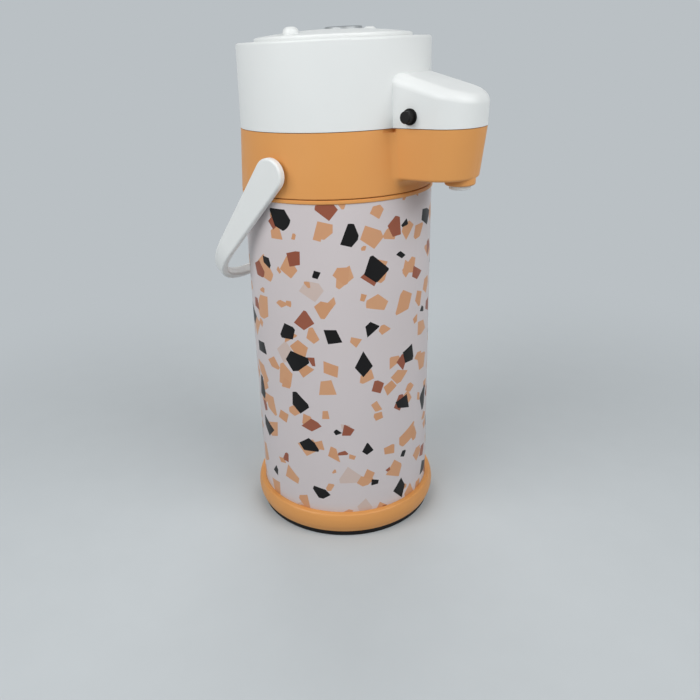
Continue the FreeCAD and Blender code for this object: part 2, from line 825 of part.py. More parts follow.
# Finger notches in the seam, either side of the spout's root
notch_x = seam_radius * dim.notch_angle.cosine()
notch_y = seam_radius * dim.notch_angle.sine()
notch_plan = new_sketch(collar, "XY_Plane", (0, 0, seam + dim.overshoot))
along_x = dim.notch_angle.sine() * dim.notch_length / 2
along_y = dim.notch_angle.cosine() * dim.notch_length / 2
across_x = dim.notch_angle.cosine() * dim.collar_wall
across_y = dim.notch_angle.sine() * dim.collar_wall
for side in (1, -1):
    draw(notch_plan, [
        (notch_x + along_x + across_x, (notch_y - along_y + across_y) * side),
        (notch_x - along_x + across_x, (notch_y + along_y + across_y) * side),
        (notch_x - along_x - across_x / 2, (notch_y + along_y - across_y / 2) * side),
        (notch_x + along_x - across_x / 2, (notch_y - along_y - across_y / 2) * side),
    ])
pad(collar, notch_plan, dim.notch_height + dim.overshoot, cut=True, down=True)

hinge_pin = new_body("hinge_pin")
turn(hinge_pin, draw(hinge_sketch(hinge_pin), box_corners(ZERO, -side_far, dim.hinge_pin_radius, side_far)))

# Stopper and the way of the drink

stopper = new_body("stopper")
stopper_bottom = flange_bottom - dim.stopper_depth
turn(stopper, draw(new_sketch(stopper, "XZ_Plane"), [
    (0, stopper_bottom),
    (stopper_radius, stopper_bottom),
    (stopper_radius, flange_bottom),
    (stopper_flange_radius, flange_bottom),
    (stopper_flange_radius, housing_bottom),
    (housing_radius, housing_bottom),
    (housing_radius, housing_top),
    (0, housing_top),
]))
pad(stopper, draw_circle(new_sketch(stopper, "XY_Plane", (0, 0, housing_bottom)),
                         -dim.port_offset, 0, dim.port_radius), port_top - housing_bottom)
bores = new_sketch(stopper, "XY_Plane", (0, 0, port_top + dim.overshoot))
draw_circle(bores, -dim.port_offset, 0, dim.port_bore)
draw_circle(bores, dim.tube_offset, 0, dim.tube_radius + dim.seat_gap)
pad(stopper, bores, port_top - stopper_bottom + dim.overshoot * 2, cut=True, down=True)
stopper_gasket = turned("stopper_gasket", box_corners(
    stopper_radius + dim.seat_gap, deck_top, stopper_flange_radius, flange_bottom))

tube_bore = dim.tube_radius - dim.tube_wall
dip_tube = turned("dip_tube", box_corners(
    tube_bore, inner_floor + dim.inner_wall + dim.tube_foot_gap, dim.tube_radius, pipe_start),
    x=dim.tube_offset)

outlet_pipe = new_body("outlet_pipe")
pipe_ring = new_sketch(outlet_pipe, "XY_Plane", (0, 0, pipe_start))
draw_circle(pipe_ring, dim.tube_offset, 0, dim.tube_radius)
draw_circle(pipe_ring, dim.tube_offset, 0, tube_bore)
pipe_path = draw(new_sketch(outlet_pipe, "XZ_Plane"), [
    (dim.tube_offset, pipe_start),
    (dim.tube_offset, pipe_axis - dim.pipe_bend, -dim.pipe_bend),
    (dim.tube_offset + dim.pipe_bend, pipe_axis),
    (nozzle_offset - dim.pipe_bend, pipe_axis, -dim.pipe_bend),
    (nozzle_offset, pipe_axis - dim.pipe_bend),
    (nozzle_offset, pipe_end),
], closed=False)
bent = outlet_pipe.newObject("PartDesign::AdditivePipe", "bent")
bent.Profile = pipe_ring
bent.Spine = (pipe_path, ["Edge%d" % (number + 1) for number in range(5)])

nozzle = turned("nozzle", [
    (dim.mouth_radius, nozzle_bottom),
    (dim.nozzle_radius - dim.nozzle_edge, nozzle_bottom),
    (dim.nozzle_radius, nozzle_bottom + dim.nozzle_edge),
    (dim.nozzle_radius, spout_bottom),
    (nozzle_neck, spout_bottom),
    (nozzle_neck, spout_floor_top),
    (dim.tube_radius + dim.seat_gap, spout_floor_top),
    (dim.tube_radius + dim.seat_gap, pipe_end),
    (dim.mouth_radius, pipe_end),
], x=nozzle_offset)

# Lid cover

lid_cover = new_body("lid_cover")


def on_slope(edge):
    """True for the edges of the spout's sloping top, but not for its root."""
    bounds = edge.BoundBox
    middle = edge.valueAt((edge.FirstParameter + edge.LastParameter) / 2)
    fall = (middle.x - rim_radius.value) * dim.spout_slope.tangent().value
    return bounds.XMax > rim_radius.value + NEAR and abs(middle.z - peak.value + fall) < NEAR


spout_high = spout_block(lid_cover, [
    (0, lid_bottom),
    (spout_reach, lid_bottom),
    (high_reach, slope_end),
    (rim_radius, peak),
    (0, peak),
])
spout_high = round_edges(lid_cover, spout_high, spout_corner, at_front)
round_edges(lid_cover, spout_high, dim.spout_top_round, on_slope)
turn(lid_cover, draw(new_sketch(lid_cover, "XZ_Plane"), [
    (0, lid_bottom),
    (seam_radius, lid_bottom),
    (rim_radius, rim - dim.rim_round, dim.rim_round),
    (rim_radius - dim.rim_round, rim),
    (0, rim),
]))
turn(lid_cover, draw(new_sketch(lid_cover, "XZ_Plane"), [
    (0, lid_bottom - dim.overshoot),
    (lid_inner, lid_bottom - dim.overshoot),
    (lid_inner, lid_bottom),
    (rim_radius - dim.lid_wall, rim - dim.lid_top),
    (0, rim - dim.lid_top),
]), cut=True)
turn(lid_cover, draw(new_sketch(lid_cover, "XZ_Plane"), box_corners(
    ZERO, rim - dim.lid_top - dim.overshoot, well_radius, rim + dim.overshoot)), cut=True)
turn(lid_cover, draw(new_sketch(lid_cover, "XZ_Plane"), box_corners(
    well_radius, rim - dim.well_depth, well_radius + dim.well_wall, rim - dim.lid_top / 2)))
loft(
    lid_cover,
    spout_outline(lid_cover, lid_bottom - dim.overshoot, cavity_reach, inner_half, inner_corner),
    spout_outline(lid_cover, cavity_top, cavity_reach, inner_half, inner_corner),
    cut=True)


def draw_screws(sketch, radius):
    """A circle at each screw of the lid's floor."""
    for number in range(SCREW_COUNT):
        angle = as_size(FULL_TURN / SCREW_COUNT * (number + 0.5))
        draw_circle(sketch, screw_circle * angle.cosine(), screw_circle * angle.sine(), radius)
    return sketch


pad(lid_cover, draw_screws(new_sketch(lid_cover, "XY_Plane", (0, 0, underplate_top)),
                           dim.screw_boss_radius), dim.screw_boss_height)
pad(lid_cover, draw_screws(new_sketch(lid_cover, "XY_Plane", (0, 0, underplate_top - dim.overshoot)),
                           dim.screw_radius + dim.seat_gap),
    dim.screw_length + dim.overshoot, cut=True)
turn(lid_cover, draw_pair(new_sketch(lid_cover, "XY_Plane", (button_offset, 0, button_z)),
                          bush_outer + dim.seat_gap,
                          inner_half - dim.overshoot, spout_half + dim.overshoot), cut=True)
turn(lid_cover, draw_pair(
    hinge_sketch(lid_cover), relief, dim.knuckle_half, side_far + dim.clear_gap), cut=True)
pad(lid_cover, draw(new_sketch(lid_cover, "XY_Plane", (0, 0, hinge_z)), box_corners(
    hinge_x, -dim.knuckle_half, hinge_inner, dim.knuckle_half)), dim.hinge_block)
turn(lid_cover, draw(hinge_sketch(lid_cover), box_corners(
    ZERO, -dim.knuckle_half, dim.hinge_radius, dim.knuckle_half)))
turn(lid_cover, draw(hinge_sketch(lid_cover), box_corners(
    ZERO, -dim.knuckle_half - dim.overshoot, pin_bore, dim.knuckle_half + dim.overshoot)), cut=True)

# Floor of the lid

underplate = new_body("underplate")
turn(underplate, draw(new_sketch(underplate, "XZ_Plane"), box_corners(
    ZERO, underplate_bottom, underplate_radius, underplate_top)))
holes = new_sketch(underplate, "XY_Plane", (0, 0, underplate_bottom - dim.overshoot))
draw_circle(holes, -dim.port_offset, 0, dim.port_bore)
draw_screws(holes, dim.screw_radius + dim.seat_gap)
pad(underplate, holes, dim.underplate_thickness + dim.overshoot * 2, cut=True)

screws = []
for number in range(SCREW_COUNT):
    angle = as_size(FULL_TURN / SCREW_COUNT * (number + 0.5))
    screws.append(turned("screw", [
        (0, underplate_bottom - dim.screw_head),
        (dim.screw_head_radius, underplate_bottom - dim.screw_head),
        (dim.screw_head_radius, underplate_bottom),
        (dim.screw_radius, underplate_bottom),
        (dim.screw_radius, underplate_bottom + dim.screw_length),
        (0, underplate_bottom + dim.screw_length),
    ], x=screw_circle * angle.cosine(), y=screw_circle * angle.sine()))
underplate_screws = group("underplate_screws", screws)

air_seal = turned("air_seal", box_corners(
    dim.port_bore, port_top + dim.clear_gap, dim.air_seal_radius, underplate_bottom), x=-dim.port_offset)
air_valve_flap = turned("air_valve_flap", box_corners(
    ZERO, underplate_top, dim.flap_radius, underplate_top + dim.flap_thickness), x=-dim.port_offset)

# Bellows and its spring

fold = bellows_height / (2 * BELLOWS_FOLDS)
outer_zigzag = []
inner_zigzag = []
for number in range(2 * BELLOWS_FOLDS + 1):
    level = underplate_top + fold * number
    crest = bellows_radius if number % 2 else bellows_root
    outer_zigzag.append((crest, level))
    inner_zigzag.append((crest - dim.bellows_wall, level))
bellows = turned("bellows", outer_zigzag + inner_zigzag[::-1])

return_spring = new_body("return_spring")
spring_base = underplate_top + dim.spring_wire + dim.seat_gap
coil = return_spring.newObject("PartDesign::AdditiveHelix", "coil")
wire = draw_circle(new_sketch(return_spring, "XZ_Plane"), dim.spring_radius, spring_base, dim.spring_wire)
coil.Profile = wire
coil.ReferenceAxis = (wire, ["V_Axis"])
coil.Mode = "height-turns-angle"
coil.setExpression("Height", (bellows_height - dim.spring_wire * 2 - dim.seat_gap * 2).formula)
coil.setExpression("Turns", dim.spring_turns.formula)

# Plunger and push plate

groove_top = groove_bottom + dim.ring_thickness + dim.seat_gap
groove_radius = dim.stem_radius - dim.ring_groove_depth
plunger = turned("plunger", [
    (0, plunger_bottom),
    (plunger_radius, plunger_bottom),
    (plunger_radius, plunger_top),
    (dim.stem_radius, plunger_top),
    (dim.stem_radius, groove_bottom),
    (groove_radius, groove_bottom),
    (groove_radius, groove_top),
    (dim.stem_radius, groove_top),
    (dim.stem_radius, stem_top),
    (0, stem_top),
])
retaining_ring = new_body("retaining_ring")
turn(retaining_ring, draw(new_sketch(retaining_ring, "XZ_Plane"), box_corners(
    groove_radius + dim.running_fit, groove_bottom + dim.running_fit,
    ring_radius, groove_bottom + dim.running_fit + dim.ring_thickness)),
    angle=as_size(FULL_TURN) - dim.ring_opening)

plate_shoulder = plate_radius - dim.plate_edge_round
hub_shelf = groove_bottom - dim.clear_gap
crown_arc = (plate_shoulder * plate_shoulder + dim.plate_crown * dim.plate_crown) / (dim.plate_crown * 2)
push_plate = new_body("push_plate")
turn(push_plate, draw(new_sketch(push_plate, "XZ_Plane"), [
    (dim.stem_radius + dim.running_fit, plunger_top + dim.clear_gap),
    (plate_hub_radius, plunger_top + dim.clear_gap),
    (plate_hub_radius, plate_under),
    (plate_radius - dim.plate_skirt_wall, plate_under),
    (plate_radius - dim.plate_skirt_wall, plate_edge - dim.plate_skirt),
    (plate_radius, plate_edge - dim.plate_skirt),
    (plate_radius, plate_edge - dim.plate_edge_round, dim.plate_edge_round),
    (plate_shoulder, plate_edge, crown_arc),
    (0, crown),
    (0, recess_top),
    (recess_radius, recess_top),
    (recess_radius, hub_shelf),
    (dim.stem_radius + dim.running_fit, hub_shelf),
]))
bump_plan = new_sketch(push_plate, "XY_Plane", (0, 0, plate_under + dim.overshoot))
draw_circle(bump_plan, 0, bump_circle, dim.bump_radius)
draw_circle(bump_plan, 0, -bump_circle, dim.bump_radius)
bump_top = crown + dim.bump_rise
bumps = pad(push_plate, bump_plan, bump_top - plate_under - dim.overshoot)
round_edges(push_plate, bumps, dim.bump_round, lambda edge: edge.BoundBox.ZMin > bump_top.value - NEAR)
badge_floor = crown - dim.badge_depth
pad(push_plate, draw_circle(new_sketch(push_plate, "XY_Plane", (0, 0, badge_floor)),
                            dim.badge_offset, 0, dim.badge_radius + dim.seat_gap),
    dim.badge_depth + dim.overshoot, cut=True)
badge_top = crown + dim.badge_rise
badge_disc = turned("badge_disc", [
    (0, badge_floor),
    (dim.badge_radius, badge_floor),
    (dim.badge_radius, badge_top - dim.badge_edge),
    (dim.badge_radius - dim.badge_edge, badge_top),
    (0, badge_top),
], x=dim.badge_offset)

# Release buttons in their bushes, one each side of the spout

bush_end = inner_half - dim.bush_tail
head_start = bush_end - dim.clear_gap
button_end = spout_half + dim.button_reach


def release_button(label, side):
    """A push pin that slides through the spout's flank."""
    body = new_body(label)
    turn(body, draw(new_sketch(body, "XY_Plane", (button_offset, 0, button_z)), [
        (0, (head_start - dim.button_head) * side),
        (button_head_radius, (head_start - dim.button_head) * side),
        (button_head_radius, head_start * side),
        (dim.button_radius, head_start * side),
        (dim.button_radius, (button_end - dim.button_edge) * side),
        (dim.button_radius - dim.button_edge, button_end * side),
        (0, button_end * side),
    ]))
    return body


def button_bush(side):
    """A flanged ring that guides one button."""
    body = new_body("bush")
    turn(body, draw(new_sketch(body, "XY_Plane", (button_offset, 0, button_z)), [
        (button_bore, bush_end * side),
        (bush_outer, bush_end * side),
        (bush_outer, spout_half * side),
        (bush_flange_radius, spout_half * side),
        (bush_flange_radius, (spout_half + dim.bush_flange) * side),
        (button_bore, (spout_half + dim.bush_flange) * side),
    ]))
    return body


lid_button_near = release_button("lid_button_near", -1)
lid_button_far = release_button("lid_button_far", 1)
button_bushes = group("button_bushes", [button_bush(-1), button_bush(1)])

# Handle: a bent strip, cut to a tapered outline seen from the side

handle = new_body("handle")
arm_outer = arm_inner + dim.handle_thickness
outer_bend = dim.handle_bend + dim.handle_thickness
bend_start = arm_inner - dim.handle_bend
bend_level = outer_bend - dim.handle_drop
grip_top = dim.handle_thickness - dim.handle_drop
arm_top = dim.handle_end_radius + dim.overshoot
strip = pad(handle, draw(new_sketch(handle, "YZ_Plane"), [
    (-arm_outer, arm_top),
    (-arm_outer, bend_level, outer_bend),
    (-bend_start, -dim.handle_drop),
    (bend_start, -dim.handle_drop, outer_bend),
    (arm_outer, bend_level),
    (arm_outer, arm_top),
    (arm_inner, arm_top),
    (arm_inner, bend_level, -dim.handle_bend),
    (bend_start, grip_top),
    (-bend_start, grip_top, -dim.handle_bend),
    (-arm_inner, bend_level),
    (-arm_inner, arm_top),
]), (dim.handle_end_radius + dim.overshoot) * 2, both=True)
tip = dim.handle_drop + dim.overshoot
reach_squared = dim.handle_grip_half * dim.handle_grip_half + tip * tip
side_length = (reach_squared - dim.handle_end_radius * dim.handle_end_radius).root()
touch_x = (dim.handle_end_radius * dim.handle_end_radius * dim.handle_grip_half
           + dim.handle_end_radius * side_length * tip) / reach_squared
touch_z = (dim.handle_end_radius * side_length * dim.handle_grip_half
           - dim.handle_end_radius * dim.handle_end_radius * tip) / reach_squared
side_view = new_sketch(handle, "XZ_Plane")
waste = dim.handle_end_radius * 2
draw(side_view, box_corners(-waste, -tip - dim.overshoot, waste, arm_top + dim.overshoot))
draw(side_view, [
    (dim.handle_grip_half, -tip),
    (touch_x, touch_z, dim.handle_end_radius),
    (0, dim.handle_end_radius, dim.handle_end_radius),
    (-touch_x, touch_z),
    (-dim.handle_grip_half, -tip),
])
tapered = pad(handle, side_view, (arm_outer + dim.overshoot) * 2, cut=True, both=True)
round_edges(handle, tapered, dim.handle_round, lambda edge: edge.Length > dim.handle_thickness.value * 2)
turn(handle, draw_pair(new_sketch(handle, "XY_Plane"), dim.pivot_radius, pivot_tip,
                       arm_inner + dim.overshoot))
handle.Placement = FreeCAD.Placement(FreeCAD.Vector(), FreeCAD.Rotation(FreeCAD.Vector(0, 1, 0), 1))
handle.setExpression("Placement.Rotation.Angle", dim.handle_rest_angle.formula)
place(handle, z=pivot_level)

# Test every object, then write each sub-part

SUB_PARTS = [
    turntable_foot, foot_grip_ring, turntable_washer, turntable_screw,
    base_ring, refill_plug, base_cushion, body_shell, neck_ring,
    glass_outer, glass_inner_base, glass_inner_wall, glass_inner_neck, glass_spacers, mouth_gasket,
    collar, hinge_pin, stopper, stopper_gasket, dip_tube, outlet_pipe, nozzle,
    lid_cover, underplate, underplate_screws, air_seal, air_valve_flap, button_bushes,
    bellows, return_spring, plunger, retaining_ring, push_plate, badge_disc,
    lid_button_near, lid_button_far, handle,
]
doc.recompute()
failed = [entry.Name for entry in doc.Objects if "Invalid" in entry.State or "Error" in entry.State]
if failed:
    raise RuntimeError("failed objects: " + ", ".join(failed))
for sub_part in SUB_PARTS:
    if sub_part.Shape.isNull() or not sub_part.Shape.isValid():
        raise RuntimeError("bad shape: " + sub_part.Label)
os.makedirs("parts", exist_ok=True)
for sub_part in SUB_PARTS:
    sub_part.Shape.exportStep("parts/%s.step" % sub_part.Label)
    solids = len(sub_part.Shape.Solids)
    print("%-20s %2d solids %10.1f mm3" % (sub_part.Label, solids, sub_part.Shape.Volume))
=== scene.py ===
# %% [markdown]
# A pump pot is a vacuum flask with a bellows pump in its lid. A printed sleeve goes round a glass
# bottle, an orange base ring and collar close it at both ends, and a white lid carries the spout,
# the push plate and two black release pins. The solids come ready made from the engineering model,
# with all their rounds and seams. They could be modelled again as meshes, but then they might no
# longer fit together, so this lesson keeps the shapes and gives each piece the surface of its
# material. Only the bellows and its spring are made again, because they fold up when the pump is
# pressed.

# %% Load the frame
import math

import bmesh
import bpy
from mathutils import Matrix, Vector


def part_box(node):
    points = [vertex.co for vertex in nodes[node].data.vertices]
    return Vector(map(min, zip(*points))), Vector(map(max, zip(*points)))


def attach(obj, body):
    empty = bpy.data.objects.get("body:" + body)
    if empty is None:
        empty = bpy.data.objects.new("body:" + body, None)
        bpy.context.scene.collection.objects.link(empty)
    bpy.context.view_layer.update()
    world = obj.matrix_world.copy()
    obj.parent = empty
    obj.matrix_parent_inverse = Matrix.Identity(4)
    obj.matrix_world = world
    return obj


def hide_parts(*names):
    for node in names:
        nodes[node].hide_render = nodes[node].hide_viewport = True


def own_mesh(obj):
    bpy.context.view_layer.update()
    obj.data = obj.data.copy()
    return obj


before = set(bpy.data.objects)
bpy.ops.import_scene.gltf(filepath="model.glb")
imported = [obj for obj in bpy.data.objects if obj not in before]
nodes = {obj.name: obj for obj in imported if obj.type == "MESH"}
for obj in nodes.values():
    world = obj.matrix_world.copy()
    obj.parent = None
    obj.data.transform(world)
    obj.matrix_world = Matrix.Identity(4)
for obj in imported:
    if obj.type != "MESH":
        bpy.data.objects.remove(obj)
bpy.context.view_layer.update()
print("pieces from the engineering model:", len(nodes))

# %% [markdown]
# The camera stands on the spout's side, a little above the lid and looking down, so the rim shows
# as a flat ellipse and the base as a deep one. It could be aimed by eye until the view looks right.
# Here the angles were found by fitting the rim, the seam and the base ring to a photograph instead,
# which also gives the slight roll of a hand-held camera. A small sideways shift of the lens puts
# the pot left of the middle.

# %% Set the camera
# Here and below, angles are in radians and lengths in metres, unless a name says otherwise.
VIEW_TURN = math.radians(37.0)
VIEW_YAW = -0.043
VIEW_PITCH = 0.404
VIEW_ROLL = -0.045
VIEW_DISTANCE = 0.4945
VIEW_HEIGHT = 0.3349
LENS_MM = 36.0
SENSOR_MM = 36.0
SHIFT_PIXELS = 36.0
PICTURE_PIXELS = 700.0
NEAREST_SEEN = 0.01


def put(name, data):
    """A new object in the scene that holds this camera, mesh or lamp."""
    thing = bpy.data.objects.new(name, data)
    bpy.context.scene.collection.objects.link(thing)
    return thing


ahead = Vector((math.sin(VIEW_YAW) * math.cos(VIEW_PITCH),
                math.cos(VIEW_YAW) * math.cos(VIEW_PITCH), -math.sin(VIEW_PITCH)))
level = Vector((math.cos(VIEW_YAW), -math.sin(VIEW_YAW), 0.0))
upright = level.cross(ahead)
across = math.cos(VIEW_ROLL) * level + math.sin(VIEW_ROLL) * upright
above = math.cos(VIEW_ROLL) * upright - math.sin(VIEW_ROLL) * level
aim = Matrix((across, above, -ahead)).transposed()
round_pot = Matrix.Rotation(VIEW_TURN, 3, "Z")

camera = put("camera", bpy.data.cameras.new("camera"))
camera.matrix_world = (Matrix.Translation(round_pot @ Vector((0.0, -VIEW_DISTANCE, VIEW_HEIGHT)))
                       @ (round_pot @ aim).to_4x4())
camera.data.lens = LENS_MM
camera.data.sensor_width = SENSOR_MM
camera.data.shift_x = SHIFT_PIXELS / PICTURE_PIXELS
camera.data.clip_start = NEAREST_SEEN
bpy.context.scene.camera = camera
bpy.context.scene.view_settings.view_transform = "Standard"
print("camera at", [round(value, 3) for value in camera.location])

# %% [markdown]
# Every material below is a small graph of nodes. One function adds a node, sets its options and
# fills its sockets, either with a number or with a link from another node. Colours are written as
# the sRGB hex values that a picture editor shows, and one function turns them to the linear values
# that the renderer works in. Object coordinates are in metres, so they are scaled to millimetres
# once, and each pattern's scale is then one divided by its real size.

# %% Helpers for materials
MM_IN_METRE = 1000.0
# A Mix node has sockets for every kind of data. These are the places of those for colours.
MIX_SHARE, MIX_ONE, MIX_OTHER = 0, 6, 7
MIXED = 2


def colour(text):
    """A hex colour as linear red, green, blue and alpha, by the curve of the sRGB standard."""
    shares = [int(text[place:place + 2], 16) / 255 for place in (0, 2, 4)]
    linear = [share / 12.92 if share <= 0.04045 else ((share + 0.055) / 1.055) ** 2.4
              for share in shares]
    return linear + [1.0]


def add(tree, kind, sockets=None, **options):
    """Add a node with its options. A socket takes a value, a link or a node's first output."""
    node = tree.nodes.new(kind)
    for name, value in options.items():
        setattr(node, name, value)
    for name, value in (sockets or {}).items():
        if isinstance(value, bpy.types.Node):
            value = value.outputs[0]
        if isinstance(value, bpy.types.NodeSocket):
            tree.links.new(value, node.inputs[name])
        else:
            node.inputs[name].default_value = value
    return node


def start(name, **sockets):
    """A new material with its shader set, and its place on the pot in millimetres."""
    material = bpy.data.materials.new(name)
    material.use_nodes = True
    tree = material.node_tree
    tree.nodes.clear()
    fixed = {socket.replace("_", " "): value for socket, value in sockets.items()}
    shader = add(tree, "ShaderNodeBsdfPrincipled", fixed)
    add(tree, "ShaderNodeOutputMaterial", {"Surface": shader.outputs["BSDF"]})
    place = add(tree, "ShaderNodeTexCoord").outputs["Object"]
    in_mm = add(tree, "ShaderNodeVectorMath", {0: place, "Scale": MM_IN_METRE}, operation="SCALE")
    return material, tree, shader, in_mm.outputs[0]


def dress(material, *names):
    """Give the named pieces this material."""
    for name in names:
        for holder in nodes[name].material_slots:
            holder.material = material
    print(material.name, "on", ", ".join(names))


print("a middle grey in linear values:", [round(value, 3) for value in colour("808080")])

# %% [markdown]
# Most of the pot is moulded polypropylene. A polished mould gives a smooth skin with a soft gloss,
# and a spark-eroded mould a fine satin grain. Both show the same things up close: a slight
# cloudiness where the melt cooled unevenly, a gloss that changes over a few centimetres, and a
# faint waviness of the skin. Each plastic could have a graph of its own, but they would be copies
# of each other, so one function builds the graph, and each plastic brings its own colours, gloss
# and grain.

# %% A moulded plastic
CLOUD_MM = 45.0
FLOW_MM = 14.0
# Nearly all of the noise lies between these two, so the gloss gets its whole range.
FLOW_LOW = 0.3
FLOW_HIGH = 0.7
GRAIN_STRENGTH = 0.6


def moulded(name, pale, deep, roughness, grain_mm, depth_mm, **sockets):
    """Plastic from a mould: two near colours, least and most roughness, a grain and its depth."""
    material, tree, shader, place = start(name, **sockets)
    cloud = add(tree, "ShaderNodeTexNoise", {
        "Vector": place, "Scale": 1 / CLOUD_MM, "Detail": 3.0})
    tint = add(tree, "ShaderNodeMix", data_type="RGBA", sockets={
        MIX_SHARE: cloud.outputs["Fac"], MIX_ONE: colour(pale), MIX_OTHER: colour(deep)})
    tree.links.new(tint.outputs[MIXED], shader.inputs["Base Color"])
    flow = add(tree, "ShaderNodeTexNoise", {
        "Vector": place, "Scale": 1 / FLOW_MM, "Detail": 4.0})
    shine = add(tree, "ShaderNodeMapRange", {
        "Value": flow.outputs["Fac"], "From Min": FLOW_LOW, "From Max": FLOW_HIGH,
        "To Min": roughness[0], "To Max": roughness[1]})
    tree.links.new(shine.outputs["Result"], shader.inputs["Roughness"])
    pits = add(tree, "ShaderNodeTexNoise", {
        "Vector": place, "Scale": 1 / grain_mm, "Detail": 2.0})
    skin = add(tree, "ShaderNodeBump", {
        "Height": pits.outputs["Fac"], "Distance": depth_mm / MM_IN_METRE,
        "Strength": GRAIN_STRENGTH})
    tree.links.new(skin.outputs["Normal"], shader.inputs["Normal"])
    return material


print("clouds of", CLOUD_MM, "mm, and a gloss that changes over", FLOW_MM, "mm")

# %% [markdown]
# The lid, the push plate, the handle and the nozzle are white. Their mould is polished, so the skin
# is smooth to the finger and shows a broad, soft highlight. A pure white would leave no room for
# light on top of it, so the written colour is a little grey and a little cool, as the real one is.

# %% White polypropylene
# A polished mould: an even cool white with a broad, soft highlight.
white_plastic = moulded("moulded_white_polypropylene", "E8EAE9", "E3E6E5", roughness=(0.36, 0.46),
                        grain_mm=1.0, depth_mm=0.006, IOR=1.49)
dress(white_plastic, "lid_cover", "push_plate", "handle", "nozzle")

# %% [markdown]
# The collar, the thin neck ring and the base ring are apricot orange. Their mould is spark-eroded,
# which leaves a fine satin grain, so the highlight is wide and dull. The grain is drawn several
# times as coarse as it is, because the real one would be too fine to show.

# %% Orange polypropylene
# A spark-eroded mould: a warm, even colour under a wide and dull highlight.
orange_plastic = moulded("satin_orange_polypropylene", "DF9E5A", "DB9854", roughness=(0.38, 0.5),
                         grain_mm=0.9, depth_mm=0.012, IOR=1.49, Specular_IOR_Level=0.4)
dress(orange_plastic, "collar", "neck_ring", "base_ring")

# %% [markdown]
# The foot, the two release pins and their bushes are black. Black plastic shows little colour of
# its own, so what the eye sees is mostly the grey bloom where light grazes it. A coarse satin mould
# keeps that weak.

# %% Black polypropylene
# A coarse satin mould: nearly no colour, and a weak grey bloom where light grazes it.
black_plastic = moulded("satin_black_polypropylene", "0F0E0E", "171616", roughness=(0.42, 0.58),
                        grain_mm=0.7, depth_mm=0.02, IOR=1.49, Specular_IOR_Level=0.25)
dress(black_plastic, "turntable_foot", "lid_button_near", "lid_button_far", "button_bushes")

# %% [markdown]
# The plastic inside the pot has no pigment: the stopper, the tubes, the plunger, the lid's floor
# and the plug under the bottle. It is milky, and thin walls let light through, so a little
# subsurface light is given to it. Full transparency would cost more time and look no better behind
# closed walls.

# %% Natural polypropylene
# No pigment: a milky, faintly warm body that glows a little at thin edges.
natural_plastic = moulded("natural_polypropylene", "E6E5DE", "DCDBD2", roughness=(0.34, 0.46),
                          grain_mm=1.4, depth_mm=0.01, IOR=1.49, Subsurface_Weight=0.2,
                          Subsurface_Scale=0.004)
dress(natural_plastic, "stopper", "underplate", "plunger", "refill_plug", "dip_tube", "outlet_pipe")

# %% [markdown]
# The grip ring under the foot and the bottle's cushion are black rubber, pressed in a hot mould.
# The same graph serves as for the plastics, with a rough skin in place of a glossy one, because
# rubber scatters nearly all the light that falls on it.

# %% Black rubber
# Pressed rubber: matt, with a dusty bloom over a soft black.
black_rubber = moulded("pressed_black_rubber", "1F1E1D", "2C2A28", roughness=(0.72, 0.88),
                       grain_mm=0.8, depth_mm=0.03, IOR=1.52)
dress(black_rubber, "foot_grip_ring", "base_cushion")

# %% [markdown]
# The gaskets, the air seal and the valve flap are silicone, which has to be soft and safe with hot
# drinks. It is hazy all through, so it gets more subsurface light than the natural plastic, and its
# gloss is a little dull.

# %% Silicone
# Moulded silicone: hazy and slightly oily, with light that spreads inside it.
silicone = moulded("moulded_silicone", "E3E2DD", "D6D5CF", roughness=(0.42, 0.58),
                   grain_mm=1.2, depth_mm=0.012, IOR=1.43, Subsurface_Weight=0.3,
                   Subsurface_Scale=0.004)
dress(silicone, "mouth_gasket", "stopper_gasket", "air_seal", "air_valve_flap")

# %% [markdown]
# The bellows is blown from soft polyethylene, so that it can fold thousands of times. Blowing
# presses the skin against the mould only lightly, which leaves a slow waviness, and the grain is
# drawn that large.

# %% Soft polyethylene
# Blown polyethylene: ivory and waxy, with a slow waviness in place of a grain.
bellows_skin = moulded("blown_soft_polyethylene", "DEDCD2", "CFCDC2", roughness=(0.45, 0.6),
                       grain_mm=3.0, depth_mm=0.03, IOR=1.51, Subsurface_Weight=0.25,
                       Subsurface_Scale=0.003)
dress(bellows_skin, "bellows")

# %% [markdown]
# The sleeve carries a terrazzo print: straight-edged stone chips scattered over a pale ground. A
# picture could be wrapped round it, but a rule gives sharp edges at any distance. The sleeve is
# unrolled to a flat sheet: the angle round the axis says how far along it a point lies. A layer of
# chips divides that sheet into rows of equal boxes that close up all the way round, and slides each
# row by a random amount, so that no columns show. This first part of the rule finds the box that a
# point is in.

# %% The boxes of a layer
SLEEVE_RADIUS_MM = 65.0
SLEEVE_ROUND_MM = 2 * math.pi * SLEEVE_RADIUS_MM
BOX_MIDDLE = (0.5, 0.5, 0.0)
# Each seed starts its rows at another height.
ROW_SHIFT = 0.37


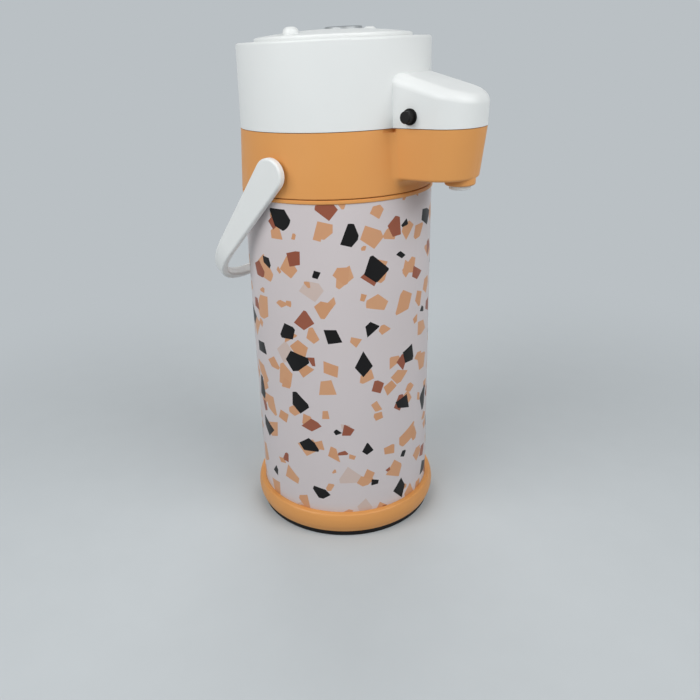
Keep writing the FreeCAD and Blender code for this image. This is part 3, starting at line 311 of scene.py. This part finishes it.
def box_of_point(tree, given):
    """The box that a point is in, the box's size, and the point's place from its middle in mm."""
    shift = add(tree, "ShaderNodeMath", {0: given["Seed"], 1: ROW_SHIFT}, operation="MULTIPLY")
    lines = add(tree, "ShaderNodeMath", {0: given["Height"], 1: given["Row"]}, operation="DIVIDE")
    rise = add(tree, "ShaderNodeMath", {0: lines, 1: shift}, operation="ADD")
    row = add(tree, "ShaderNodeMath", {0: rise}, operation="FLOOR")
    row_key = add(tree, "ShaderNodeCombineXYZ", {"X": row, "Y": given["Seed"]})
    slide = add(tree, "ShaderNodeTexWhiteNoise", {"Vector": row_key}, noise_dimensions="2D")
    slid = add(tree, "ShaderNodeMath", {0: given["Round"], 1: slide}, operation="ADD")
    part_round = add(tree, "ShaderNodeMath", {0: slid}, operation="FRACT")
    along = add(tree, "ShaderNodeMath", {0: part_round, 1: given["Columns"]}, operation="MULTIPLY")
    grid = add(tree, "ShaderNodeCombineXYZ", {"X": along, "Y": rise, "Z": given["Seed"]})
    box = add(tree, "ShaderNodeVectorMath", {0: grid}, operation="FLOOR")
    wide = add(tree, "ShaderNodeMath", {0: SLEEVE_ROUND_MM, 1: given["Columns"]},
               operation="DIVIDE")
    size = add(tree, "ShaderNodeCombineXYZ", {"X": wide, "Y": given["Row"]})
    part = add(tree, "ShaderNodeVectorMath", {0: grid}, operation="FRACTION")
    part = add(tree, "ShaderNodeVectorMath", {0: part, 1: BOX_MIDDLE}, operation="SUBTRACT")
    inside = add(tree, "ShaderNodeVectorMath", {0: part, 1: size}, operation="MULTIPLY")
    return box, size, inside


print("the sleeve's way round in mm:", round(SLEEVE_ROUND_MM, 1))

# %% [markdown]
# A box may hold one chip. On a real print no two chips are alike, so each is sized, moved, turned
# and stretched by random numbers that belong to its box. They could be written down in a list, but
# White Noise gives the same numbers for the same box at every point, which is just what is needed.
# Because each box holds at most one chip, those of one ink keep their distance, as in a print laid
# out by eye, while those of two inks may overlap.

# %% One chip in its box
# The smallest chip is this share smaller than the largest, and the cube of a random number keeps
# most chips large. A chip needs this many half sizes of room.
SIZE_RANGE = 0.68
SIZE_POWER = 3.0
ROOM_NEEDED = 2.3
LEAST_STRETCH = 0.8
STRETCH_RANGE = 0.55
# A turn of many radians makes two near draws point quite differently.
TURN_RANGE = 97.0
# Each draw in a box has a number of its own. A draw's mean is taken off to throw both ways.
FIRST_DRAW = (0.0, 0.0, 0.13)
SECOND_DRAW = (0.0, 0.0, 0.29)
DRAW_MEAN = (0.5, 0.5, 0.5)
NO_ROOM = (0.0, 0.0, 0.0)


def chip_in_box(tree, largest, box, size, inside):
    """The chip's first draw, and the point's place in the chip, in shares of half its size."""
    first_key = add(tree, "ShaderNodeVectorMath", {0: box, 1: FIRST_DRAW})
    first = add(tree, "ShaderNodeTexWhiteNoise", {"Vector": first_key})
    second_key = add(tree, "ShaderNodeVectorMath", {0: box, 1: SECOND_DRAW})
    second = add(tree, "ShaderNodeTexWhiteNoise", {"Vector": second_key})
    power = add(tree, "ShaderNodeMath", {0: second, 1: SIZE_POWER}, operation="POWER")
    shrink = add(tree, "ShaderNodeMath", {0: power, 1: -SIZE_RANGE, 2: 1.0},
                 operation="MULTIPLY_ADD")
    half = add(tree, "ShaderNodeMath", {0: shrink, 1: largest}, operation="MULTIPLY")
    spare = add(tree, "ShaderNodeMath", {0: half, 1: -ROOM_NEEDED}, operation="MULTIPLY")
    room = add(tree, "ShaderNodeVectorMath", {0: size, 1: spare}, operation="ADD")
    room = add(tree, "ShaderNodeVectorMath", {0: room, 1: NO_ROOM}, operation="MAXIMUM")
    throw = add(tree, "ShaderNodeVectorMath", {0: first.outputs["Color"], 1: DRAW_MEAN},
                operation="SUBTRACT")
    middle = add(tree, "ShaderNodeVectorMath", {0: throw, 1: room}, operation="MULTIPLY")
    spot = add(tree, "ShaderNodeVectorMath", {0: inside, 1: middle}, operation="SUBTRACT")
    spot = add(tree, "ShaderNodeVectorMath", {0: spot, 1: half}, operation="DIVIDE")
    turn = add(tree, "ShaderNodeMath", {0: second, 1: TURN_RANGE}, operation="MULTIPLY")
    turned = add(tree, "ShaderNodeVectorRotate", {"Vector": spot, "Angle": turn},
                 rotation_type="Z_AXIS")
    stretch = add(tree, "ShaderNodeVectorMath", operation="MULTIPLY_ADD", sockets={
        0: second.outputs["Color"], 1: (STRETCH_RANGE, 0.0, 0.0), 2: (LEAST_STRETCH, 1.0, 0.0)})
    return first, add(tree, "ShaderNodeVectorMath", {0: turned, 1: stretch}, operation="MULTIPLY")


print("a chip's least share of the largest:", round(1 - SIZE_RANGE, 2))

# %% [markdown]
# A stone chip breaks along straight lines. A noise pattern would give round blots, so the chip is
# cut out by its sides instead: four that face the four ways, each leaning and moved at random, and
# one more that cuts off a corner. A point is in the chip where it is behind all of them.

# %% The sides of a chip
# Lengths in a chip are shares of half its size. No corner lies further out than the longest reach.
CHIP_SIDES = 5
CORNER_CUT = 4
SIDE_TURN = math.radians(90.0)
CUT_TURN = math.radians(45.0)
SIDE_NEAREST = 0.5
SIDE_RANGE = 0.45
SIDE_LEAN = 0.9
CUT_FURTHER = 0.2
LONGEST_REACH = 1.3
# The draws of the sides go on from those of the chip.
SIDE_DRAW = 1.1
SIDE_DRAW_STEP = 0.17


def past_the_sides(tree, box, spot):
    """How far a spot lies outside its chip, in shares of half its size: less than 0 inside."""
    length = add(tree, "ShaderNodeVectorMath", {0: spot}, operation="LENGTH").outputs["Value"]
    outside = add(tree, "ShaderNodeMath", {0: length, 1: LONGEST_REACH}, operation="SUBTRACT")
    for side in range(CHIP_SIDES):
        cut = side == CORNER_CUT
        angle = CUT_TURN if cut else SIDE_TURN * side
        nearest = SIDE_NEAREST + (CUT_FURTHER if cut else 0.0)
        faced = (math.cos(angle) - SIDE_LEAN / 2, math.sin(angle) - SIDE_LEAN / 2, 0.0)
        draw = (0.0, 0.0, SIDE_DRAW + SIDE_DRAW_STEP * side)
        key = add(tree, "ShaderNodeVectorMath", {0: box, 1: draw})
        luck = add(tree, "ShaderNodeTexWhiteNoise", {"Vector": key})
        lean = add(tree, "ShaderNodeVectorMath", operation="MULTIPLY_ADD", sockets={
            0: luck.outputs["Color"], 1: (SIDE_LEAN, SIDE_LEAN, 0.0), 2: faced})
        facing = add(tree, "ShaderNodeVectorMath", {0: lean}, operation="NORMALIZE")
        reach = add(tree, "ShaderNodeVectorMath", {0: spot, 1: facing}, operation="DOT_PRODUCT")
        limit = add(tree, "ShaderNodeMath", {0: luck, 1: SIDE_RANGE, 2: nearest},
                    operation="MULTIPLY_ADD")
        edge = add(tree, "ShaderNodeMath", {0: reach.outputs["Value"], 1: limit},
                   operation="SUBTRACT")
        outside = add(tree, "ShaderNodeMath", {0: outside, 1: edge}, operation="MAXIMUM")
    return outside


print("sides of a chip:", CHIP_SIDES)

# %% [markdown]
# The three parts of the rule make one layer of chips. Five layers are needed, so the layer is a
# group of nodes with sockets for what differs. It could be built five times over, but then a change
# would have to be made five times too.

# %% One layer of chips
def chip_layer():
    """A group of nodes that says where one layer has chips, and gives each chip a random tone."""
    tree = bpy.data.node_groups.new("stone_chips", "ShaderNodeTree")
    for name in ("Round", "Height", "Columns", "Row", "Largest", "Share", "Seed"):
        tree.interface.new_socket(name, in_out="INPUT", socket_type="NodeSocketFloat")
    for name in ("Chip", "Tone"):
        tree.interface.new_socket(name, in_out="OUTPUT", socket_type="NodeSocketFloat")
    given = add(tree, "NodeGroupInput").outputs
    box, size, inside = box_of_point(tree, given)
    luck, spot = chip_in_box(tree, given["Largest"], box, size, inside)
    outside = past_the_sides(tree, box, spot)
    within = add(tree, "ShaderNodeMath", {0: outside, 1: 0.0}, operation="LESS_THAN")
    chosen = add(tree, "ShaderNodeMath", {0: luck, 1: given["Share"]}, operation="LESS_THAN")
    chip = add(tree, "ShaderNodeMath", {0: within, 1: chosen}, operation="MULTIPLY")
    add(tree, "NodeGroupOutput", {"Chip": chip, "Tone": luck})
    return tree


stone_chips = chip_layer()
print("nodes in a layer of chips:", len(stone_chips.nodes))

# %% [markdown]
# The print is made of five layers of such chips on one film, in the order in which a press would
# lay them down: ghosts that are barely darker than the ground, large and small apricot chips,
# terracotta and last black. Each ink could be a material of its own, but the edges would then have
# to be cut into the mesh, so the layers are mixed over each other in one material.

# %% Terrazzo film
# Printed film under lacquer: flat inks with hard edges, and one smooth gloss over all of them.
GROUND_MM = 60.0
GROUND_INKS = ("D1C9CB", "D4CBCB")
CHIP_LAYERS = [
    # columns, row height mm, largest half size mm, share of boxes, two near inks
    (9, 44.0, 8.5, 0.5, "CDB9B0", "D0BEB6"),
    (14, 26.0, 7.9, 0.95, "D09A73", "D3A07A"),
    (17, 22.0, 5.6, 0.72, "D29D77", "CC956C"),
    (11, 36.0, 6.3, 0.85, "94533E", "9C5D47"),
    (11, 33.0, 8.0, 0.94, "0B0A0B", "100E0F"),
]
FIRST_SEED = 3.0
SEED_STEP = 7.0

film, tree, shader, place = start("terrazzo_printed_film", IOR=1.5, Specular_IOR_Level=0.25)
parts = add(tree, "ShaderNodeSeparateXYZ", {"Vector": place}).outputs
angle = add(tree, "ShaderNodeMath", {0: parts["Y"], 1: parts["X"]}, operation="ARCTAN2")
# The angle runs from minus half a turn to half a turn, and becomes a share from 0 to 1.
share_round = add(tree, "ShaderNodeMath", operation="MULTIPLY_ADD", sockets={
    0: angle, 1: 1 / (2 * math.pi), 2: 0.5})
clouds = add(tree, "ShaderNodeTexNoise", {
    "Vector": place, "Scale": 1 / GROUND_MM, "Detail": 2.0})
ink = add(tree, "ShaderNodeMix", data_type="RGBA", sockets={
    MIX_SHARE: clouds, MIX_ONE: colour(GROUND_INKS[0]), MIX_OTHER: colour(GROUND_INKS[1])})
for number, (columns, row, largest, share, one_ink, other_ink) in enumerate(CHIP_LAYERS):
    layer = add(tree, "ShaderNodeGroup", node_tree=stone_chips, sockets={
        "Round": share_round, "Height": parts["Z"], "Columns": columns, "Row": row,
        "Largest": largest, "Share": share, "Seed": FIRST_SEED + SEED_STEP * number})
    stone = add(tree, "ShaderNodeMix", data_type="RGBA", sockets={
        MIX_SHARE: layer.outputs["Tone"], MIX_ONE: colour(one_ink), MIX_OTHER: colour(other_ink)})
    ink = add(tree, "ShaderNodeMix", data_type="RGBA", sockets={
        MIX_SHARE: layer.outputs["Chip"], MIX_ONE: ink.outputs[MIXED],
        MIX_OTHER: stone.outputs[MIXED]})
tree.links.new(ink.outputs[MIXED], shader.inputs["Base Color"])
dress(film, "body_shell")

# %% [markdown]
# All the inks lie under one clear lacquer. Giving each ink a gloss of its own would make the chips
# look glued on, so the gloss and its faint orange peel run over all of them alike.

# %% Lacquer on the film
HAZE_MM = 20.0
LACQUER_ROUGHNESS = (0.3, 0.42)
PEEL_MM = 5.0
PEEL_DEPTH_MM = 0.01
PEEL_STRENGTH = 0.5

haze = add(tree, "ShaderNodeTexNoise", {"Vector": place, "Scale": 1 / HAZE_MM, "Detail": 3.0})
gloss = add(tree, "ShaderNodeMapRange", {
    "Value": haze.outputs["Fac"], "To Min": LACQUER_ROUGHNESS[0], "To Max": LACQUER_ROUGHNESS[1]})
tree.links.new(gloss.outputs["Result"], shader.inputs["Roughness"])
peel = add(tree, "ShaderNodeTexNoise", {"Vector": place, "Scale": 1 / PEEL_MM, "Detail": 1.0})
skin = add(tree, "ShaderNodeBump", {
    "Height": peel.outputs["Fac"], "Distance": PEEL_DEPTH_MM / MM_IN_METRE,
    "Strength": PEEL_STRENGTH})
tree.links.new(skin.outputs["Normal"], shader.inputs["Normal"])
print("nodes in the film:", len(tree.nodes))

# %% [markdown]
# On the metals, the glass and the felt, one pattern is behind most of what the eye sees: where the
# surface is worked more, its tint, its gloss and its height change together. Each could have a
# noise of its own, as on the plastics, but then the bright spots would not lie where the marks are.
# So one function lets a single pattern drive them all, and each finish brings its own pattern.

# %% A surface with one pattern
def imprint(tree, shader, pattern, tints, roughness, depth_mm=None, strength=None):
    """Let one pattern drive a surface's tint, its gloss and, where a depth is given, its relief."""
    tint = add(tree, "ShaderNodeMix", data_type="RGBA", sockets={
        MIX_SHARE: pattern, MIX_ONE: colour(tints[0]), MIX_OTHER: colour(tints[1])})
    tree.links.new(tint.outputs[MIXED], shader.inputs["Base Color"])
    shine = add(tree, "ShaderNodeMapRange", {
        "Value": pattern, "To Min": roughness[0], "To Max": roughness[1]})
    tree.links.new(shine.outputs["Result"], shader.inputs["Roughness"])
    if depth_mm is not None:
        relief = add(tree, "ShaderNodeBump", {
            "Height": pattern, "Distance": depth_mm / MM_IN_METRE, "Strength": strength})
        tree.links.new(relief.outputs["Normal"], shader.inputs["Normal"])


# %% [markdown]
# The badge in the push plate is an aluminium disc, faced on a lathe. The tool leaves fine rings
# round the middle, which could be cut into the mesh, but at a tenth of a millimetre they would cost
# many thousand faces. A ring wave drives the tint, the gloss and the bump together instead. The
# real rings would be too fine to show, so they are drawn nearly a millimetre apart.

# %% Turned aluminium
# Faced aluminium: a soft grey metal with fine rings that catch the light in turn.
RING_MM = 0.9
RING_WANDER = 1.2
# The ring wave repeats every tenth of pi at a scale of 1.
WAVE_REPEAT = math.pi / 10
NO_HEIGHT = (1.0, 1.0, 0.0)

aluminium, tree, shader, place = start("turned_aluminium", Metallic=1.0)
badge_low, badge_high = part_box("badge_disc")
badge_middle = [MM_IN_METRE * (low + high) / 2 for low, high in zip(badge_low, badge_high)]
centred = add(tree, "ShaderNodeVectorMath", {0: place, 1: badge_middle}, operation="SUBTRACT")
flat = add(tree, "ShaderNodeVectorMath", {0: centred, 1: NO_HEIGHT}, operation="MULTIPLY")
rings = add(tree, "ShaderNodeTexWave", wave_type="RINGS", rings_direction="SPHERICAL", sockets={
    "Vector": flat, "Scale": WAVE_REPEAT / RING_MM, "Distortion": RING_WANDER, "Detail": 2.0})
imprint(tree, shader, rings.outputs["Fac"], tints=("A9ABAC", "BEC0C1"), roughness=(0.28, 0.42),
        depth_mm=0.02, strength=0.4)
dress(aluminium, "badge_disc")

# %% [markdown]
# The spring, the hinge pin, the screws, the washer and the retaining ring are steel, drawn through
# a die as wire or rod. Drawing polishes the metal and handling scuffs it, so bright and dull spots
# lie close together. Scratches along each wire would need a map of every coil, and a fine noise
# looks the same at this distance.

# %% Drawn steel
# Drawn steel: a bright, cool metal, lightly scuffed.
SCUFF_MM = 0.8

steel, tree, shader, place = start("drawn_steel", Metallic=1.0)
scuffs = add(tree, "ShaderNodeTexNoise", {"Vector": place, "Scale": 1 / SCUFF_MM, "Detail": 4.0})
imprint(tree, shader, scuffs.outputs["Fac"], tints=("9A9B9D", "C4C5C7"), roughness=(0.18, 0.38))
dress(steel, "return_spring", "hinge_pin", "turntable_screw", "turntable_washer",
      "underplate_screws", "retaining_ring")

# %% [markdown]
# The bottle is blown glass with two walls and a mirror of silver between them, which keeps the heat
# in. It could be two clear shells with a metal skin, but light would bounce between them for a long
# time to give the same look: a mirror with a clear coat. The slow waves of blown glass bend what it
# reflects.

# %% Silvered glass
# Silver behind blown glass: a bright mirror with slow waves under a clear, hard gloss.
WAVES_MM = 25.0

silvered, tree, shader, place = start("silvered_glass", Metallic=0.9, Coat_Weight=1.0,
                                      Coat_Roughness=0.02)
wavy = add(tree, "ShaderNodeTexNoise", {"Vector": place, "Scale": 1 / WAVES_MM, "Detail": 2.0})
imprint(tree, shader, wavy.outputs["Fac"], tints=("C9CDCC", "DDE0DE"), roughness=(0.04, 0.14),
        depth_mm=0.4, strength=0.3)
dress(silvered, "glass_inner_base", "glass_inner_wall", "glass_inner_neck", "glass_outer")

# %% [markdown]
# Small pads of pressed felt hold the two glass walls apart. Hairs could be modelled, but the pads
# are never seen from near, so a noise tints and roughens them, and a little sheen stands for the
# fuzz. The noise is coarser than the fibres, which would be too fine to show.

# %% Pressed felt
# Pressed felt: dull and fibrous, with a pale fuzz at its edges.
FIBRE_MM = 0.6

felt, tree, shader, place = start("pressed_felt", Sheen_Weight=0.4)
hairs = add(tree, "ShaderNodeTexNoise", {"Vector": place, "Scale": 1 / FIBRE_MM, "Detail": 6.0})
imprint(tree, shader, hairs.outputs["Fac"], tints=("B0A58F", "CBC1AC"), roughness=(0.85, 0.98),
        depth_mm=0.2, strength=0.8)
dress(felt, "glass_spacers")

# %% [markdown]
# Two pieces change their shape when the push plate goes down: the bellows folds up, and the spring
# inside it closes. A solid can only be moved, so both are made again as meshes of the same size.
# The floor and the height of the bellows are measured on the model.

# %% Pieces that the pump presses
pump_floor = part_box("bellows")[0][2]
pump_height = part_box("bellows")[1][2] - pump_floor
# An edge that bends less than this looks smooth, and one that bends more is a fold.
SMOOTH_TO = math.radians(50.0)


def pressed_piece(name, shaping, material, node):
    """Make a shaped mesh a piece of the lid, which stands for a node and hides it."""
    bmesh.ops.recalc_face_normals(shaping, faces=shaping.faces[:])
    mesh = bpy.data.meshes.new(name)
    shaping.to_mesh(mesh)
    shaping.free()
    mesh.shade_smooth()
    mesh.set_sharp_from_angle(angle=SMOOTH_TO)
    mesh.materials.append(material)
    piece = put(name, mesh)
    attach(piece, "lid")
    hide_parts(node)
    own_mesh(piece)
    print(name, "with", len(mesh.polygons), "faces")


# %% [markdown]
# The bellows is a thin wall with six folds. It could be a curve with a Screw modifier, but a
# profile that is spun leaves real edges, and those are bevelled, because a blown fold is round and
# not sharp. The profile goes up along the outer wall and down along the inner one, so the spun
# shell is closed.

# %% Bellows
FOLDS = 6
BELLOWS_CREST = 0.044
BELLOWS_ROOT = 0.037
BELLOWS_WALL = 0.001
FOLD_ROUND = 0.0004
FOLD_SEGMENTS = 3
ROUND_STEPS = 72

# Each fold takes one step out to its crest and one step back to its root.
wall_steps = 2 * FOLDS
outer_wall = [(BELLOWS_CREST if step % 2 else BELLOWS_ROOT,
               pump_floor + pump_height * step / wall_steps) for step in range(wall_steps + 1)]
inner_wall = [(radius - BELLOWS_WALL, level) for radius, level in reversed(outer_wall)]
shaping = bmesh.new()
corners = [shaping.verts.new((radius, 0.0, level)) for radius, level in outer_wall + inner_wall]
for corner, following in zip(corners, corners[1:] + corners[:1]):
    shaping.edges.new((corner, following))
bmesh.ops.spin(shaping, geom=shaping.verts[:] + shaping.edges[:], cent=(0, 0, 0), axis=(0, 0, 1),
               angle=2 * math.pi, steps=ROUND_STEPS, use_merge=True)
folds = [edge for edge in shaping.edges if edge.calc_face_angle(0.0) > SMOOTH_TO]
bmesh.ops.bevel(shaping, geom=folds, offset=FOLD_ROUND, affect="EDGES", segments=FOLD_SEGMENTS,
                profile=0.5, material=-1)
pressed_piece("folding_bellows", shaping, bellows_skin, "bellows")

# %% [markdown]
# The spring is steel wire wound into five open turns. A curve with a round bevel would give the
# same form, but only a mesh can be flattened. So a ring of the wire's size is spun round the axis
# and lifted a little at every step, and its two ends are closed.

# %% Return spring
SPRING_RADIUS = 0.020
SPRING_TURNS = 5
WIRE_RADIUS = 0.0009
WIRE_CORNERS = 12

spring_low, spring_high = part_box("return_spring")
spring_steps = SPRING_TURNS * ROUND_STEPS
spring_climb = spring_high[2] - spring_low[2] - 2 * WIRE_RADIUS
shaping = bmesh.new()
ring = bmesh.ops.create_circle(shaping, cap_ends=False, segments=WIRE_CORNERS,
                               radius=WIRE_RADIUS)["verts"]
bmesh.ops.rotate(shaping, verts=ring, cent=(0, 0, 0), matrix=Matrix.Rotation(math.pi / 2, 3, "X"))
bmesh.ops.translate(shaping, verts=ring, vec=(SPRING_RADIUS, 0.0, spring_low[2] + WIRE_RADIUS))
bmesh.ops.spin(shaping, geom=shaping.verts[:] + shaping.edges[:], cent=(0, 0, 0), axis=(0, 0, 1),
               dvec=(0, 0, spring_climb / spring_steps), angle=2 * math.pi * SPRING_TURNS,
               steps=spring_steps)
open_ends = [edge for edge in shaping.edges if edge.is_boundary]
bmesh.ops.holes_fill(shaping, edges=open_ends, sides=0)
pressed_piece("wound_spring", shaping, steel, "return_spring")

# %% [markdown]
# The stage is a plain pale floor that runs out into a sky of the same tone, so that no horizon cuts
# the picture. A curved paper sweep would do the same from one side only, so the floor is a flat
# disc, wide enough to fill the view from any side.

# %% Floor
FLOOR_RADIUS = 4.0
FLOOR_CORNERS = 96

shaping = bmesh.new()
bmesh.ops.create_circle(shaping, cap_ends=True, segments=FLOOR_CORNERS, radius=FLOOR_RADIUS)
floor_mesh = bpy.data.meshes.new("floor")
shaping.to_mesh(floor_mesh)
shaping.free()
floor = put("floor", floor_mesh)
print("floor radius in metres:", FLOOR_RADIUS)

# %% [markdown]
# Near the pot the floor is plain paper and takes the shadow. Further out it shows the sky's tone to
# the eye and to mirrors, and stays paper for the light that bounces off it. A paper as pale as the
# sky could lie everywhere, but its edge would still show as a horizon where the lamps don't reach.
# Light Path tells the two kinds of ray apart.

# %% Paper
# Matt paper: an even pale grey with a trace of fibre.
BACKDROP = "BAC0C4"
PAPER_MM = 30.0
PAPER_TINTS = ("C3C9CC", "C7CDD0")
FADE_START_MM = 180.0
FADE_END_MM = 620.0


def seen_plainly(tree):
    """1 for a ray from the camera, a mirror or glass, and 0 for one that only carries light."""
    rays = add(tree, "ShaderNodeLightPath").outputs
    mirror = add(tree, "ShaderNodeMath", operation="MAXIMUM", sockets={
        0: rays["Is Glossy Ray"], 1: rays["Is Transmission Ray"]})
    return add(tree, "ShaderNodeMath", {0: rays["Is Camera Ray"], 1: mirror}, operation="MAXIMUM")


paper, tree, shader, place = start("pale_paper", Roughness=0.9)
fibres = add(tree, "ShaderNodeTexNoise", {"Vector": place, "Scale": 1 / PAPER_MM, "Detail": 3.0})
tint = add(tree, "ShaderNodeMix", data_type="RGBA", sockets={
    MIX_SHARE: fibres, MIX_ONE: colour(PAPER_TINTS[0]), MIX_OTHER: colour(PAPER_TINTS[1])})
tree.links.new(tint.outputs[MIXED], shader.inputs["Base Color"])
away = add(tree, "ShaderNodeVectorMath", {0: place}, operation="LENGTH").outputs["Value"]
far = add(tree, "ShaderNodeMapRange", interpolation_type="SMOOTHSTEP", sockets={
    "Value": away, "From Min": FADE_START_MM, "From Max": FADE_END_MM})
share = add(tree, "ShaderNodeMath", {0: far, 1: seen_plainly(tree)}, operation="MULTIPLY")
glow = add(tree, "ShaderNodeEmission", {"Color": colour(BACKDROP), "Strength": 1.0})
blended = add(tree, "ShaderNodeMixShader", {0: share, 1: shader, 2: glow})
tree.links.new(blended.outputs[0], tree.nodes["Material Output"].inputs["Surface"])
floor_mesh.materials.append(paper)
print(paper.name, "on", floor.name)

# %% [markdown]
# The sky is a plain room. What the camera and mirrors see of it is the backdrop's tone at full
# strength, while the light that it sheds on the pot is much weaker, because the lamps do that work.
# One strength for both would be simpler, but a backdrop this pale would wash out the shadows.

# %% Sky
AMBIENT = "E8ECEF"
AMBIENT_STRENGTH = 0.2

sky = bpy.data.worlds.new("pale_room")
bpy.context.scene.world = sky
sky.use_nodes = True
tree = sky.node_tree
tree.nodes.clear()
shown = add(tree, "ShaderNodeBackground", {"Color": colour(BACKDROP), "Strength": 1.0})
ambient = add(tree, "ShaderNodeBackground", {
    "Color": colour(AMBIENT), "Strength": AMBIENT_STRENGTH})
both = add(tree, "ShaderNodeMixShader", {0: seen_plainly(tree), 1: ambient, 2: shown})
add(tree, "ShaderNodeOutputWorld", {"Surface": both})
print("sky set to", BACKDROP)

# %% [markdown]
# Two soft boxes hang above the camera's left and right shoulder, as on a product table. They are
# near the lid and far from the foot, so the light fades down the sleeve. A single large one would
# be softer, but the pot would look flat under it. A third lamp, further off behind the pot, keeps
# the rear from going dark when the pot is turned round. It is hidden from mirrors, because its
# reflection would burn out the slope of the spout.

# %% Lamps
LAMP_AIM = Vector((0.0, 0.0, 0.2))


def soft_box(name, turn, distance, height, width, depth, power):
    """A soft rectangular lamp, turned in degrees from the camera's side of the pot."""
    light = bpy.data.lights.new(name, "AREA")
    light.shape = "RECTANGLE"
    light.size = width
    light.size_y = depth
    light.energy = power
    lamp = put(name, light)
    bearing = VIEW_TURN + math.radians(turn)
    spot = Vector((distance * math.sin(bearing), -distance * math.cos(bearing), height))
    facing = (LAMP_AIM - spot).to_track_quat("-Z", "Y").to_matrix().to_4x4()
    lamp.matrix_world = Matrix.Translation(spot) @ facing
    lamp.visible_camera = False
    print(name, "of", power, "watts")
    return lamp


soft_box("left_soft_box", turn=-48.0, distance=0.68, height=0.70, width=0.7, depth=0.5, power=4.5)
soft_box("right_soft_box", turn=48.0, distance=0.68, height=0.70, width=0.7, depth=0.5, power=4.1)
rear_soft_box = soft_box("rear_soft_box", turn=180.0, distance=0.9, height=0.5, width=0.8,
                         depth=0.5, power=4.5)
rear_soft_box.visible_glossy = False
